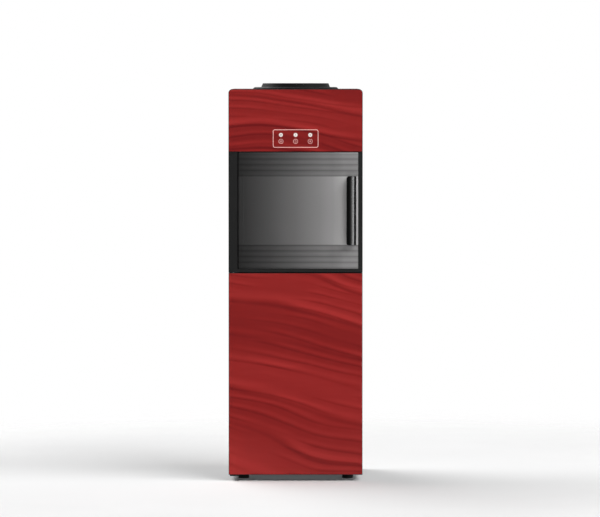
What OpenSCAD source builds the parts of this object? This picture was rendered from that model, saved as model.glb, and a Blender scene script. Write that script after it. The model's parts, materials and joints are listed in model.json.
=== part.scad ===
// Free-standing bottled-water dispenser with a fridge cabinet below.
// A top-loading bottle collar feeds three push-lever taps in a niche behind a smoked door.
// Millimetres, +Z up, front towards -Y, origin on the floor at the centre of the footprint.

/* [Cabinet] */
// Width of the cabinet
body_w = 330; // [310:1:360]
// Height from the floor to the top cover
body_h = 966; // [955:1:1000]
// Depth from the red panels to the rear panel
body_d = 318; // [305:1:340]
// Thickness of the steel sheet
sheet_t = 1; // [0.8:0.1:1.5]
// Thickness of the plastic mouldings
wall_t = 3; // [2.5:0.1:4]
// Radius of the top corners, seen from the front
corner_r = 10; // [6:0.5:14]
// Side height of the top cover
cover_h = 16; // [15:1:22]
// Height of the feet
foot_h = 15; // [13:1:25]
// Radius of a foot
foot_r = 14; // [11:1:18]
// Distance from a side to the foot centres
foot_inset = 36; // [25:1:50]
// Distance from the cabinet's front to the front feet
foot_back = 22; // [8:1:40]
// Thickness of the base pan
pan_t = 1.5; // [1:0.1:2.5]
// Height of the base pan's upturned edge
pan_h = 20; // [14:1:28]
// Width of the rear flanges of the sides
flange_w = 12; // [10:1:15]

/* [Red panels and fridge door] */
// Thickness of the red glass
glass_t = 4; // [3:0.5:6]
// Dark border around the red glass
edge_border = 1.2; // [0.8:0.1:2.5]
// Height of the top panel
top_h = 154.3; // [148:0.1:162]
// Gap between the fridge door and the niche frame
panel_gap = 1.5; // [1:0.1:3]
// Height of the fridge door
fridge_door_h = 499; // [490:1:510]
// Thickness of the fridge door without its gasket
door_t = 38; // [34:1:44]
// Width of the fridge door's rim
door_rim = 24; // [20:1:30]
// Thickness of the door gasket
gasket_t = 8; // [7:0.5:12]
// Width of the door gasket
gasket_w = 12; // [8:1:14]
// Distance from the side to the fridge hinge axis
hinge_inset = 12; // [10:0.5:14]
// Radius of the fridge hinge pins
hinge_pin_r = 4; // [3:0.5:5]
// Thickness of the fridge hinge brackets
bracket_t = 3; // [2:0.5:3.5]
// Height of the finger grip in the fridge door's edge
grip_h = 120; // [80:1:160]
// Depth of the finger grip
grip_d = 18; // [14:1:20]

/* [Niche and smoked door] */
// Inner width of the niche
niche_w = 256; // [250:1:262]
// Depth of the niche behind the smoked door
niche_d = 134; // [125:1:140]
// Width of the dark strip on the hinge side
strip_w = 22; // [18:0.5:24]
// Width of the frame on the handle side
right_margin = 10.5; // [8:0.5:14]
// Height of the frame's lower rail
rail_h = 8; // [7:0.5:11]
// How far the frame lies behind the red glass
frame_recess = 2; // [1.5:0.1:4]
// Thickness of the smoked door
tap_door_t = 10; // [9:0.5:12]
// Wall of the top panel in front of the smoked door's upper pin
pin_cover = 1; // [0.8:0.1:2]
// Clearance around the smoked door's hinge barrel
barrel_gap = 1.5; // [1.2:0.1:2.5]
// Radius of the smoked door's hinge pins
tap_pin_r = 1.5; // [1.2:0.1:2]
// Height of the raised middle panel
raised_h = 170; // [140:1:190]
// How far the middle panel stands out
raised_t = 1; // [0.6:0.1:1.2]
// Height of one horizontal flute
flute_pitch = 14; // [12:0.5:20]
// Radius of a flute's hollow
flute_r = 18; // [14:1:26]
// Depth of a flute
flute_depth = 1; // [0.5:0.1:1.4]
// Width of the door handle
handle_w = 24; // [20:1:30]
// How far the handle stands out of the red glass
handle_proud = 18; // [15:1:24]
// Thickness of the handle's lip
handle_lip = 7; // [5:0.5:9]
// Width of the handle's foot
handle_foot = 11; // [8:1:14]
// Corner radius of the handle
handle_corner = 6; // [3:0.5:10]
// Distance from the handle to the smoked door's edge
handle_edge = 5.5; // [4:0.5:10]

/* [Controls] */
// Distance between the indicator lenses
lens_pitch = 36; // [28:1:44]
// Radius of an indicator lens
lens_r = 6; // [4:0.5:8]
// Height of the lenses above the top panel's lower edge
lens_up = 41.7; // [34:0.1:60]
// Thickness of the control board
board_t = 1.6; // [1:0.1:2.4]

/* [Taps] */
// Distance between the taps
tap_pitch = 68; // [60:1:76]
// Distance from the niche wall to the spout axis
tap_reach = 40; // [34:1:48]
// Distance from the niche ceiling down to the tap axis
tap_drop = 66; // [60:1:76]
// Outer radius of the valve chamber
chamber_r = 13; // [12:0.5:15]
// Wall thickness of the valve chamber
chamber_wall = 4; // [3:0.5:4.5]
// Length of the spout below the tap axis
spout_l = 44; // [36:1:54]
// Radius of the threaded shank
shank_r = 7.8; // [7:0.1:9]
// Length of the lever in front of its pivot
lever_l = 43; // [36:1:50]
// Width of the lever
lever_w = 16; // [13:1:16]
// Thickness of the lever
lever_t = 4; // [3:0.5:5]
// Distance from the lever pivot to the valve stem
lever_arm = 9; // [7.5:0.5:9.5]
// Radius of the valve stem
stem_r = 2.5; // [2:0.1:2.8]
// Turns of the valve spring
spring_turns = 5; // [3:1:7]
// Radius of the spring wire
spring_wire = 0.7; // [0.5:0.1:0.9]

/* [Drip tray] */
// Height of the drip tray
tray_h = 20; // [16:1:28]
// Depth of the drip tray
tray_d = 104; // [90:1:110]
// Clearance from the tray to the niche sides
tray_side = 8; // [4:1:14]
// Thickness of the grille
grille_t = 3; // [2:0.5:4]
// Width of a slot in the grille
slot_w = 6; // [5:0.5:8]
// Distance between the slots
slot_pitch = 12; // [10:0.5:16]

/* [Fridge] */
// Thickness of the insulation
foam_t = 22; // [18:1:26]
// Thickness of the liner
liner_t = 2; // [1.5:0.1:3]
// Height of the compressor bay
bay_h = 190; // [182:1:205]
// Depth of the compressor bay
bay_d = 168; // [160:1:175]
// Height of the shelf above the fridge's step
shelf_up = 120; // [90:1:140]
// Depth of the shelf
shelf_d = 150; // [130:1:158]
// Thickness of the shelf
shelf_t = 4; // [3:0.5:6]
// Distance from the door racks to the back of the fridge's lower part
rack_clear = 28; // [22:1:40]
// Height of the door racks
rack_h = 46; // [34:1:52]

/* [Water and cooling] */
// Outer radius of the bottle collar's flange
flange_r = 106; // [100:1:115]
// Radius of the bottle collar at its foot
collar_r = 86; // [82:0.5:90]
// Radius of the bottle collar at its rim
rim_r = 82; // [79.5:0.5:83]
// Inner radius of the bottle collar
seat_r = 76; // [70:0.5:77]
// Height of the collar above the top cover
collar_h = 14; // [10:1:24]
// Thickness of the collar's flange
collar_flange_t = 4.5; // [3:0.5:6]
// Inner radius of the bottle neck's well
well_r = 58; // [50:1:62]
// Depth of the well below the top cover
well_d = 56; // [50:1:60]
// Radius of the cold tank
tank_r = 78; // [72:1:80]
// Radius of the tank's insulation
jacket_r = 98; // [95:1:102]
// Radius of the cooling coil's tube
coil_r = 3; // [2:0.5:3.5]
// Turns of the cooling coil
coil_turns = 5; // [3:1:6]
// Radius of the hot tank
hot_r = 48; // [40:1:50]
// Height of the hot tank
hot_h = 130; // [100:1:140]
// Radius of the water hoses
hose_r = 5; // [4:0.5:6]
// Radius of the compressor
compressor_r = 60; // [54:1:64]
// Height of the compressor
compressor_h = 128; // [110:1:135]
// Height of the compressor's rubber mounts
grommet_h = 13; // [10:1:16]

/* [Rear] */
// Distance from the rear panel to the condenser
standoff = 15; // [14:1:22]
// Thickness of the condenser wires
wire_t = 1.5; // [1:0.1:2]
// Distance between the condenser wires
wire_pitch = 12; // [9:0.5:16]
// Radius of the condenser tube
condenser_r = 2.5; // [2:0.1:3.5]
// Distance from the cabinet's inside to the condenser
condenser_side = 47; // [46:1:70]
// Distance between the condenser tubes
run_pitch = 44; // [36:1:50]
// Lowest condenser tube above the bay's ceiling
condenser_up = 50; // [40:1:80]
// Number of condenser tubes
run_count = 13; // [7:2:15]
// Width of the service plate
service_w = 124; // [122:1:134]
// Height of the service plate
service_h = 46; // [42:1:50]
// Radius of the thermostat knob
knob_r = 14; // [10:1:16]
// Radius of the mains cord's entry bore
cord_r = 3.7; // [3:0.1:4.5]
// Radius of a drain cap
drain_r = 11; // [9:0.5:12]

/* [Clearances] */
// Gap between fixed neighbours
fit = 0.2; // [0.1:0.05:0.4]
// Radial clearance of a turning pin
run_fit = 0.05; // [0.02:0.01:0.1]
// Gap between moving neighbours
gap = 0.6; // [0.4:0.1:0.9]

/* [Hidden] */
$fn = 64;
cut = 1; // how far a cutter runs past the face it opens

// Colours
red_glass = "#96282a";
trim_black = "#1c1c1e";
frame_black = "#262627";
smoke_grey = "#5c5c5c";
side_grey = "#2b2b2d";
steel = "#b9bcc0";
zinc = "#a5a9ad";
white_plastic = "#eceeee";
foam_yellow = "#e8dcb4";
copper = "#b5693c";
hot_red = "#c8202a";
cold_blue = "#2a62b8";
rubber_black = "#151515";

// Depth chain, front to back
weld_gap = 0.05;
condenser_depth = standoff + 2 * wire_t + 2 * (condenser_r + weld_gap);
total_d = handle_proud + body_d + condenser_depth;
front_y = handle_proud - total_d / 2;
back_y = front_y + body_d;
glass_y = front_y + glass_t;
door_y = front_y + door_t;
cab_y = door_y + gasket_t;
half_w = body_w / 2;
in_x = half_w - sheet_t - fit;
in_y = back_y - 2 * sheet_t - fit;

// Height chain, floor to top
door_top = foot_h + fridge_door_h;
frame_z0 = door_top + panel_gap;
bezel_z0 = body_h - top_h;
frame_z1 = bezel_z0 - fit;
cover_z0 = body_h - cover_h;
shelf_z = frame_z1 + wall_t + 5;

// Smoked door and its frame
frame_y = front_y + frame_recess;
barrel_r = tap_door_t / 2;
tap_hinge_x = -half_w + strip_w + barrel_gap + barrel_r;
tap_hinge_y = glass_y + pin_cover + tap_pin_r + run_fit;
tap_door_y0 = tap_hinge_y - barrel_r;
tap_door_y1 = tap_door_y0 + tap_door_t;
ledge_y = tap_door_y1 + gap;
tap_door_x1 = half_w - right_margin;
tap_door_z0 = frame_z0 + rail_h + gap;
tap_door_z1 = frame_z1 - 2 * gap;
pocket_x0 = -half_w + strip_w;
pocket_x1 = tap_door_x1 + gap;
raised_z0 = (tap_door_z0 + tap_door_z1 - raised_h) / 2;
raised_z1 = raised_z0 + raised_h;
raised_x0 = tap_hinge_x + barrel_r + 3;
raised_y = tap_door_y0 - raised_t;
tap_pin_l = 12;
magnet = [8, 3, 30]; // width, depth, height

// Niche
niche_flange = 9;
niche_wall = 2.5;
niche_z0 = frame_z0 + rail_h + niche_flange + fit;
niche_z1 = frame_z1 - wall_t - niche_flange - fit;
niche_y0 = ledge_y + wall_t;
niche_y1 = ledge_y + niche_d;
niche_back = niche_y1 + niche_wall;

// Taps, hot on the left
tap_x = [-tap_pitch, 0, tap_pitch];
tap_z = niche_z1 - tap_drop;
tap_y = niche_y1 - tap_reach;
tap_seat_z = tap_z - 12;
tap_top_z = tap_z + 15;
tap_flange_r = 16;
tap_flange_t = 3;
barrel_tap_r = 10;
spout_r = 8.5;
spout_bore = 5.5;
seat_bore = 4.5;
shank_l = 24;
shank_end = niche_back + shank_l;
chamber_in = chamber_r - chamber_wall;
cap_t = 4;
cap_spigot = 3;
plunger_t = 5;
lever_pin_r = 1.5;
ear_t = 3.5;
ear_gap = 0.5;
pivot_y = tap_y - lever_arm;
pivot_z = tap_top_z + cap_t + 6;
hub_r = 4;
stem_head_gap = 1.6;
paddle_r = lever_w * 0.62;
slider = [8, 9, 3]; // width, length, height of the hot tap's lock
slider_travel = 4;
slider_y = pivot_y - lever_l + 12;

// Drip tray
tray_x = niche_w / 2 - tray_side;
tray_wall = 2;
tray_z0 = niche_z0 + 0.1;
tray_z1 = tray_z0 + tray_h;
tray_y1 = niche_y1 - 6;
tray_y0 = tray_y1 - tray_d;
post = 8;

// Fridge
foam_z0 = foot_h + pan_h + fit;
foam_z1 = door_top - 4;
step_z = foot_h + bay_h;
bay_y = back_y - bay_d;
cav_x = in_x - foam_t - liner_t;
cav_z0 = foam_z0 + foam_t + liner_t;
cav_z1 = foam_z1 - foam_t - liner_t;
cav_y1 = in_y - foam_t - liner_t;
low_y1 = bay_y - foam_t - liner_t;
step_top = step_z + foam_t + liner_t;
shelf_top = step_top + shelf_up;
ledge_w = 8;
ledge_t = 5;
shelf_y1 = cav_y1 - 14;
shelf_y0 = shelf_y1 - shelf_d;
evap_t = 1.5;
evap_gap = 4;
chase_x = in_x - 38;
chase_w = 12;

// Fridge door
fridge_hinge_x = -half_w + hinge_inset;
fridge_hinge_y = glass_y + 12;
pin_l = 14;
gasket_x0 = fridge_hinge_x + 2;
rack_x0 = fridge_hinge_x + 30;
rack_x1 = cav_x - 24;
rack_t = 2.5;
rack_d = low_y1 - cab_y - rack_clear;
rack_z = [cav_z0 + 50, shelf_top + 40];
door_plate = 2.5;

// Bottle collar, tanks and compressor
collar_y = (cab_y + back_y) / 2;
collar_wall = 3;
collar_z1 = body_h + collar_h;
seat_z0 = body_h - 20;
neck_z = body_h - 34;
well_z0 = body_h - well_d;
tank_wall = 1.2;
tank_floor = 14;
tank_z0 = shelf_z + sheet_t + tank_floor;
tank_z1 = well_z0 - 3;
coil_steps = 24;
coil_path_r = (tank_r + coil_r + fit) / cos(180 / coil_steps);
jacket_in = coil_path_r + coil_r + fit;
coil_pitch = (tank_z1 - tank_z0 - 20) / (coil_turns + 0.5);
coil_z0 = tank_z0 + 10;
coil_z1 = coil_z0 + coil_pitch * (coil_turns + 0.5);
hot_y = in_y - hot_r - 10;
hot_z1 = shelf_z - 24;
hot_z0 = hot_z1 - hot_h;
comp_x = -30;
comp_y = back_y - bay_d / 2 - 6;
comp_plate = [170, 118, 3];
comp_z0 = foot_h + pan_t + grommet_h;
comp_z1 = comp_z0 + comp_plate[2] + compressor_h;
stub_x = compressor_r / 2;
stub_h = 6;

// Rear fittings
rear_z0 = step_z - 12;
rear_z1 = cover_z0 - fit;
condenser_half = in_x - condenser_side;
cond_z0 = step_z + condenser_up;
cond_z1 = cond_z0 + (run_count - 1) * run_pitch;
wire_y = back_y + standoff;
cond_y = wire_y + wire_t + weld_gap + condenser_r;
service_x = in_x - flange_w - service_w / 2 - 4;
service_z = rear_z1 - service_h / 2 - 8;
service_t = 3;
service_y = back_y + service_t;
housing_d = 16;
rocker_w = 13;
rocker_h = 20;
rocker_x = [service_x - service_w * 15 / 62, service_x - service_w * 3 / 62];
rocker_pin_r = 1.5;
rocker_lean = 8;
rocker_gap = 1;
knob_x = service_x + service_w / 2 - knob_r - 8;
knob_h = 12;
knob_shaft_r = 3;
gland_x = service_x - service_w * 49 / 124;
gland_r = 8;
gland_l = 12;
drain_x = in_x - flange_w - drain_r - 2;
drain_z = hot_z0 - 18;
drain_stub_r = 6;
drain_l = 15;
screw_r = 1.6;
screw_head_r = 3.6;
screw_head_t = 2.2;
screw_l = 5;
rear_screw_z = [rear_z0 + 12, rear_z0 + (rear_z1 - rear_z0) / 3, rear_z0 + 2 * (rear_z1 - rear_z0) / 3,
    rear_z1 - 12];
foot_y = [cab_y + foot_back + foot_r, in_y - foot_r - 8];
foot_x = half_w - foot_inset;
foot_screw_r = 2;

// Building blocks
module slab(x0, x1, y0, y1, z0, z1) {
    translate([x0, y0, z0]) cube([x1 - x0, y1 - y0, z1 - z0]);
}
module rod_x(x0, x1, y, z, r) {
    translate([x0, y, z]) rotate([0, 90, 0]) cylinder(h = x1 - x0, r = r);
}
module rod_y(x, y0, y1, z, r) {
    translate([x, y1, z]) rotate([90, 0, 0]) cylinder(h = y1 - y0, r = r);
}
module rod_z(x, y, z0, z1, r) {
    translate([x, y, z0]) cylinder(h = z1 - z0, r = r);
}
// An outline in X and Z, carried from y0 back to y1
module upright(y0, y1) {
    translate([0, y1, 0]) rotate([90, 0, 0]) linear_extrude(y1 - y0) children();
}
// A rectangle with round corners
module round_rect(x0, x1, z0, z1, r) {
    translate([x0 + r, z0]) square([x1 - x0 - 2 * r, z1 - z0]);
    translate([x0, z0 + r]) square([x1 - x0, z1 - z0 - 2 * r]);
    for (x = [x0 + r, x1 - r], z = [z0 + r, z1 - r]) translate([x, z]) circle(r);
}
// The cabinet's front outline: square at the foot, round at the top corners
module shoulder(w, z0, z1, r) {
    intersection() {
        translate([-w, z0]) square([2 * w, z1 - z0]);
        union() {
            translate([-w, z0]) square([2 * w, z1 - z0 - r]);
            translate([-w + r, z0]) square([2 * (w - r), z1 - z0]);
            for (x = [-w + r, w - r]) translate([x, z1 - r]) circle(r);
        }
    }
}
// A can with round edges, drawn as a half outline
module can_outline(r, h, f) {
    square([r - f, h]);
    translate([0, f]) square([r, h - 2 * f]);
    for (z = [f, h - f]) translate([r - f, z]) circle(f);
}
module can(r, h, f) {
    rotate_extrude() intersection() {
        can_outline(r, h, f);
        square([r, h]);
    }
}

// Tubes along a path
function unit(v) = v / norm(v);
function corner(a, p, b, reach, steps) =
    let (s = p + unit(a - p) * reach, e = p + unit(b - p) * reach)
    [for (i = [0 : steps]) let (t = i / steps) (1 - t) * (1 - t) * s + 2 * t * (1 - t) * p + t * t * e];
function bent(points, reach, steps = 4) = concat(
    [points[0]],
    [for (i = [1 : len(points) - 2]) each corner(points[i - 1], points[i], points[i + 1], reach, steps)],
    [points[len(points) - 1]]
);
function tangents(p) = [for (i = [0 : len(p) - 1])
    unit(p[min(i + 1, len(p) - 1)] - p[max(i - 1, 0)])];
function transported(t, n, i = 0, out = []) = i == len(t) ? out :
    let (m = n - (n * t[i]) * t[i], u = unit(m)) transported(t, u, i + 1, concat(out, [u]));
module tube(path, r, sides = 8) {
    t = tangents(path);
    first = abs(t[0][2]) < 0.9 ? cross(t[0], [0, 0, 1]) : cross(t[0], [1, 0, 0]);
    n = transported(t, unit(first));
    rings = [for (i = [0 : len(path) - 1], k = [0 : sides - 1])
        let (a = 360 * k / sides) path[i] + r * (cos(a) * n[i] + sin(a) * cross(t[i], n[i]))];
    last = (len(path) - 1) * sides;
    faces = concat(
        [for (k = [1 : sides - 2]) [0, k, k + 1]],
        [for (k = [1 : sides - 2]) [last, last + k + 1, last + k]],
        [for (i = [0 : len(path) - 2], k = [0 : sides - 1])
            let (a = i * sides + k, b = i * sides + (k + 1) % sides) each [[a, a + sides, b], [b,
                a + sides, b + sides]]]
    );
    polyhedron(points = rings, faces = faces);
}
// A helix about a vertical axis
function helix(x, y, r, z0, pitch, turns, per_turn, start) =
    [for (i = [0 : turns * per_turn]) let (a = start + 360 * i / per_turn)
        [x + r * cos(a), y + r * sin(a), z0 + pitch * i / per_turn]];
function least_gap(path, r, per_turn) =
    min([for (i = [0 : len(path) - 1 - per_turn]) norm(path[i + per_turn] - path[i])]) - 2 * r;

// Cabinet
module base_pan() {
    color(zinc) difference() {
        slab(-in_x, in_x, cab_y, in_y, foot_h, foot_h + pan_h);
        slab(-in_x + pan_t, in_x - pan_t, cab_y + pan_t, in_y - pan_t, foot_h + pan_t,
            foot_h + pan_h + cut);
        for (x = [-foot_x, foot_x], y = foot_y)
            rod_z(x, y, foot_h - cut, foot_h + pan_t + cut, foot_screw_r + fit);
    }
}
module rubber_feet() {
    color(rubber_black) for (x = [-foot_x, foot_x], y = foot_y) difference() {
        translate([x, y, 0]) cylinder(h = foot_h, r1 = foot_r - 1.5, r2 = foot_r);
        rod_z(x, y, -cut, foot_h + cut, foot_screw_r + fit);
        rod_z(x, y, -cut, foot_h / 2, screw_head_r + 1);
    }
}
module cabinet_screws() {
    color(steel) {
        for (x = [-foot_x, foot_x], y = foot_y) {
            rod_z(x, y, foot_h / 2 - screw_head_t, foot_h / 2, screw_head_r + fit);
            rod_z(x, y, foot_h / 2, foot_h + pan_t + 3, foot_screw_r);
        }
        for (x = [-1, 1], z = rear_screw_z) {
            rod_y(x * (in_x - flange_w / 2), back_y, back_y + screw_head_t, z, screw_head_r);
            rod_y(x * (in_x - flange_w / 2), back_y - screw_l, back_y, z, screw_r - fit);
        }
    }
}
module side_sheet() {
    difference() {
        union() {
            slab(half_w - sheet_t, half_w, cab_y, back_y, foot_h, cover_z0);
            slab(in_x - flange_w, half_w, back_y - 2 * sheet_t, back_y - sheet_t, foot_h, cover_z0);
        }
        for (z = rear_screw_z)
            rod_y(in_x - flange_w / 2, in_y - cut, back_y, z, screw_r);
    }
}
module side_panel_right() { color(side_grey) side_sheet(); }
module side_panel_left() { color(side_grey) mirror([1, 0, 0]) side_sheet(); }

module rear_panel() {
    vent_w = hot_r * 1.25;
    vent_h = hot_h * 0.031;
    vent_pitch = hot_h * 0.108;
    color(side_grey) difference() {
        slab(-in_x, in_x, back_y - sheet_t, back_y, rear_z0, rear_z1);
        for (x = [-1, 1], z = rear_screw_z)
            rod_y(x * (in_x - flange_w / 2), back_y - sheet_t - cut, back_y + cut, z, screw_r);
        // Vents beside the hot tank
        for (x = [-1.1, 0, 1.1], i = [0 : 7]) upright(back_y - sheet_t - cut, back_y + cut)
            round_rect(x * vent_w - vent_w / 2, x * vent_w + vent_w / 2,
                hot_z0 + vent_pitch * i, hot_z0 + vent_pitch * i + vent_h, vent_h / 2 - 0.1);
        // Openings for the switch housings, the knob's shaft, the cord and the drains
        for (x = rocker_x) slab(x - housing_x() - fit, x + housing_x() + fit, back_y - sheet_t - cut,
            back_y + cut,
            service_z - housing_z() - fit, service_z + housing_z() + fit);
        rod_y(knob_x, back_y - sheet_t - cut, back_y + cut, service_z, knob_shaft_r + 2);
        rod_y(gland_x, back_y - sheet_t - cut, back_y + cut, service_z, gland_r + fit);
        for (x = [-drain_x, drain_x]) rod_y(x, back_y - sheet_t - cut, back_y + cut, drain_z,
            drain_stub_r + fit);
    }
}
module top_cover() {
    color(trim_black) difference() {
        upright(cab_y, back_y) shoulder(half_w, cover_z0, body_h, corner_r);
        upright(cab_y - cut, back_y - wall_t)
            shoulder(half_w - wall_t, cover_z0 - cut, body_h - wall_t, corner_r - wall_t + 0.5);
        rod_z(0, collar_y, body_h - wall_t - cut, body_h + cut, seat_r + collar_wall + fit);
    }
}
module tank_shelf() {
    lip = 12;
    color(zinc) difference() {
        union() {
            slab(-in_x, in_x, cab_y + fit, in_y, shelf_z, shelf_z + sheet_t);
            for (x = [-in_x, in_x - sheet_t]) slab(x, x + sheet_t, cab_y + fit, in_y, shelf_z - lip,
                shelf_z + fit);
        }
        for (p = port_xy()) rod_z(p[0], p[1], shelf_z - cut, shelf_z + sheet_t + cut, hose_r + gap);
        for (x = [-chase_x, chase_x]) slab(x - chase_w / 2, x + chase_w / 2, in_y - chase_w - 4, in_y + cut,
            shelf_z - cut, shelf_z + sheet_t + cut);
        for (x = [-hot_r / 2, hot_r / 2]) rod_z(x, hot_y, shelf_z - cut, shelf_z + sheet_t + cut, 3 + fit);
    }
}

// Top panel and controls
function lens_z() = bezel_z0 + lens_up;
function board_y() = glass_y + wall_t + 10;
module top_bezel() {
    boss_r = tap_pin_r + 3;
    color(trim_black) difference() {
        union() {
            difference() {
                upright(glass_y, cab_y) shoulder(half_w, bezel_z0, body_h, corner_r);
                upright(glass_y + wall_t, cab_y + cut) shoulder(half_w - wall_t, bezel_z0 + wall_t,
                    body_h - wall_t, corner_r - wall_t + 0.5);
            }
            rod_z(tap_hinge_x, tap_hinge_y, bezel_z0, bezel_z0 + tap_pin_l, boss_r);
            for (x = [-1.4, 1.4], z = [-0.29, 0.38])
                rod_y(x * lens_pitch, glass_y + wall_t - fit, board_y(), lens_z() + z * lens_up, wall_t);
        }
        slab(tap_hinge_x - boss_r - cut, tap_hinge_x + boss_r + cut, glass_y - boss_r - cut, glass_y,
            bezel_z0 - cut, bezel_z0 + tap_pin_l + cut);
        rod_z(tap_hinge_x, tap_hinge_y, bezel_z0 - cut, bezel_z0 + tap_pin_l + cut, tap_pin_r + run_fit);
        for (i = [-1 : 1]) rod_y(i * lens_pitch, glass_y - cut, glass_y + wall_t + cut, lens_z(),
            lens_r + fit);
    }
}
module top_glass() {
    color(red_glass) difference() {
        upright(front_y, glass_y) shoulder(half_w - edge_border, bezel_z0 + edge_border,
            body_h - edge_border, corner_r - edge_border);
        for (i = [-1 : 1]) rod_y(i * lens_pitch, front_y - cut, glass_y + cut, lens_z(), lens_r + fit);
    }
}
module indicator_lenses() {
    color("white") for (i = [-1 : 1])
        rod_y(i * lens_pitch, front_y - 0.3, board_y() - 4, lens_z(), lens_r);
}
module control_board() {
    color("#1f6b3a") {
        slab(-1.75 * lens_pitch, 1.75 * lens_pitch, board_y(), board_y() + board_t,
            lens_z() - 0.43 * lens_up, lens_z() + 0.53 * lens_up);
        for (i = [-1 : 1]) rod_y(i * lens_pitch, board_y() - 3.5, board_y() + 0.1, lens_z(), 0.42 * lens_r);
        slab(-lens_pitch / 3, lens_pitch / 3, board_y() + board_t - 0.1, board_y() + 6 * board_t,
            lens_z() + 0.19 * lens_up, lens_z() + 0.43 * lens_up);
        slab(-1.4 * lens_pitch, -0.72 * lens_pitch, board_y() + board_t - 0.1, board_y() + 3.5 * board_t,
            lens_z() - 0.24 * lens_up, lens_z() + 0.14 * lens_up);
    }
}

// Niche
module hinge_plate_outline(grow) {
    slab(-half_w + 3 - grow, -half_w + 2 * hinge_inset + grow, fridge_hinge_y - 7 - grow, cab_y - 3 + grow,
        door_top + gap, frame_z0 + bracket_t - gap + grow);
}
module magnet_block(grow) {
    x = (niche_w / 2 + tap_door_x1) / 2;
    z = (raised_z0 + raised_z1) / 2;
    slab(x - magnet[0] / 2 - grow, x + magnet[0] / 2 + grow, ledge_y, ledge_y + magnet[1],
        z - magnet[2] / 2 - grow, z + magnet[2] / 2 + grow);
}
module niche_frame() {
    color(frame_black) difference() {
        slab(-half_w, half_w, frame_y, cab_y, frame_z0, frame_z1);
        // Pocket that the smoked door closes into
        slab(pocket_x0, pocket_x1, frame_y - cut, ledge_y, frame_z0 + rail_h, frame_z1 + cut);
        // Opening of the niche
        slab(-niche_w / 2, niche_w / 2, ledge_y - cut, cab_y + cut, niche_z0, niche_z1);
        // Hollows behind the ledge and the hinge strip
        slab(-half_w + wall_t, half_w - wall_t, niche_y0, cab_y + cut, frame_z0 + rail_h,
            frame_z1 - wall_t);
        slab(-half_w + wall_t, pocket_x0 - wall_t, frame_y + wall_t, cab_y + cut, frame_z0 + rail_h,
            frame_z1 - wall_t);
        rod_z(tap_hinge_x, tap_hinge_y, frame_z0 + rail_h - tap_pin_l / 2, frame_z0 + rail_h + cut,
            tap_pin_r + run_fit);
        hinge_plate_outline(fit);
        translate([0, -fit, 0]) magnet_block(fit);
        magnet_block(fit);
    }
}
module niche_liner() {
    nx = niche_w / 2;
    color(frame_black) difference() {
        union() {
            slab(-nx - niche_wall, nx + niche_wall, niche_y0, niche_back, niche_z0 - niche_wall,
                niche_z1 + niche_wall);
            slab(-nx - niche_flange, nx + niche_flange, niche_y0, niche_y0 + niche_wall,
                niche_z0 - niche_flange, niche_z1 + niche_flange);
        }
        slab(-nx, nx, niche_y0 - cut, niche_y1, niche_z0, niche_z1);
        for (x = tap_x) rod_y(x, niche_y1 - cut, niche_back + cut, tap_z, shank_r + fit);
    }
}
module drip_tray() {
    color(frame_black) {
        difference() {
            slab(-tray_x, tray_x, tray_y0, tray_y1, tray_z0, tray_z1);
            slab(-tray_x + tray_wall, tray_x - tray_wall, tray_y0 + tray_wall, tray_y1 - tray_wall,
                tray_z0 + tray_wall, tray_z1 + cut);
        }
        for (x = [-tray_x + 1, tray_x - 1 - post], y = [tray_y0 + 1, tray_y1 - 1 - post])
            slab(x, x + post, y, y + post, tray_z0 + 1, tray_z1 - grille_t - 0.1);
    }
}
module drip_grille() {
    gx = tray_x - tray_wall - gap;
    gy0 = tray_y0 + tray_wall + gap;
    gy1 = tray_y1 - tray_wall - gap;
    slots = floor((gx - 8) / slot_pitch);
    color(steel) difference() {
        slab(-gx, gx, gy0, gy1, tray_z1 - grille_t, tray_z1);
        for (i = [-slots : slots], half = [0, 1])
            slab(i * slot_pitch - slot_w / 2, i * slot_pitch + slot_w / 2,
                gy0 + 7 + half * (gy1 - gy0 - 7) / 2, gy0 + (half + 1) * (gy1 - gy0 - 7) / 2,
                tray_z1 - grille_t - cut, tray_z1 + cut);
    }
}

// Taps
module tap_body(x) {
    color(trim_black) difference() {
        union() {
            rod_y(x, niche_y1 - tap_flange_t, niche_y1, tap_z, tap_flange_r);
            rod_y(x, tap_y, niche_y1, tap_z, barrel_tap_r);
            rod_y(x, niche_y1, shank_end, tap_z, shank_r);
            rod_z(x, tap_y, tap_seat_z - 5, tap_top_z, chamber_r);
            rod_z(x, tap_y, tap_z - spout_l, tap_seat_z, spout_r);
        }
        rod_z(x, tap_y, tap_seat_z, tap_top_z + cut, chamber_in);
        rod_z(x, tap_y, tap_z - spout_l - cut, tap_seat_z - 4, spout_bore);
        rod_z(x, tap_y, tap_seat_z - 5, tap_seat_z + cut, seat_bore);
        rod_y(x, tap_y + chamber_in - 2, shank_end + cut, tap_z, seat_bore);
    }
}
module tap_caps() {
    ear_x = lever_w / 2 + ear_gap;
    color(trim_black) for (x = tap_x) difference() {
        union() {
            rod_z(x, tap_y, tap_top_z, tap_top_z + cap_t, chamber_r);
            rod_z(x, tap_y, tap_top_z - cap_spigot, tap_top_z + 1, chamber_in - fit);
            for (side = [-1, 1]) {
                slab(x + side * (ear_x + ear_t / 2) - ear_t / 2, x + side * (ear_x + ear_t / 2) + ear_t / 2,
                    pivot_y - hub_r, pivot_y + hub_r, tap_top_z, pivot_z);
                rod_x(x + side * (ear_x + ear_t / 2) - ear_t / 2,
                    x + side * (ear_x + ear_t / 2) + ear_t / 2,
                    pivot_y, pivot_z, hub_r);
            }
        }
        rod_z(x, tap_y, tap_top_z - cap_spigot - cut, tap_top_z + cap_t + cut, stem_r + fit);
        rod_x(x - lever_w, x + lever_w, pivot_y, pivot_z, lever_pin_r + fit / 2);
    }
}
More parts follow.
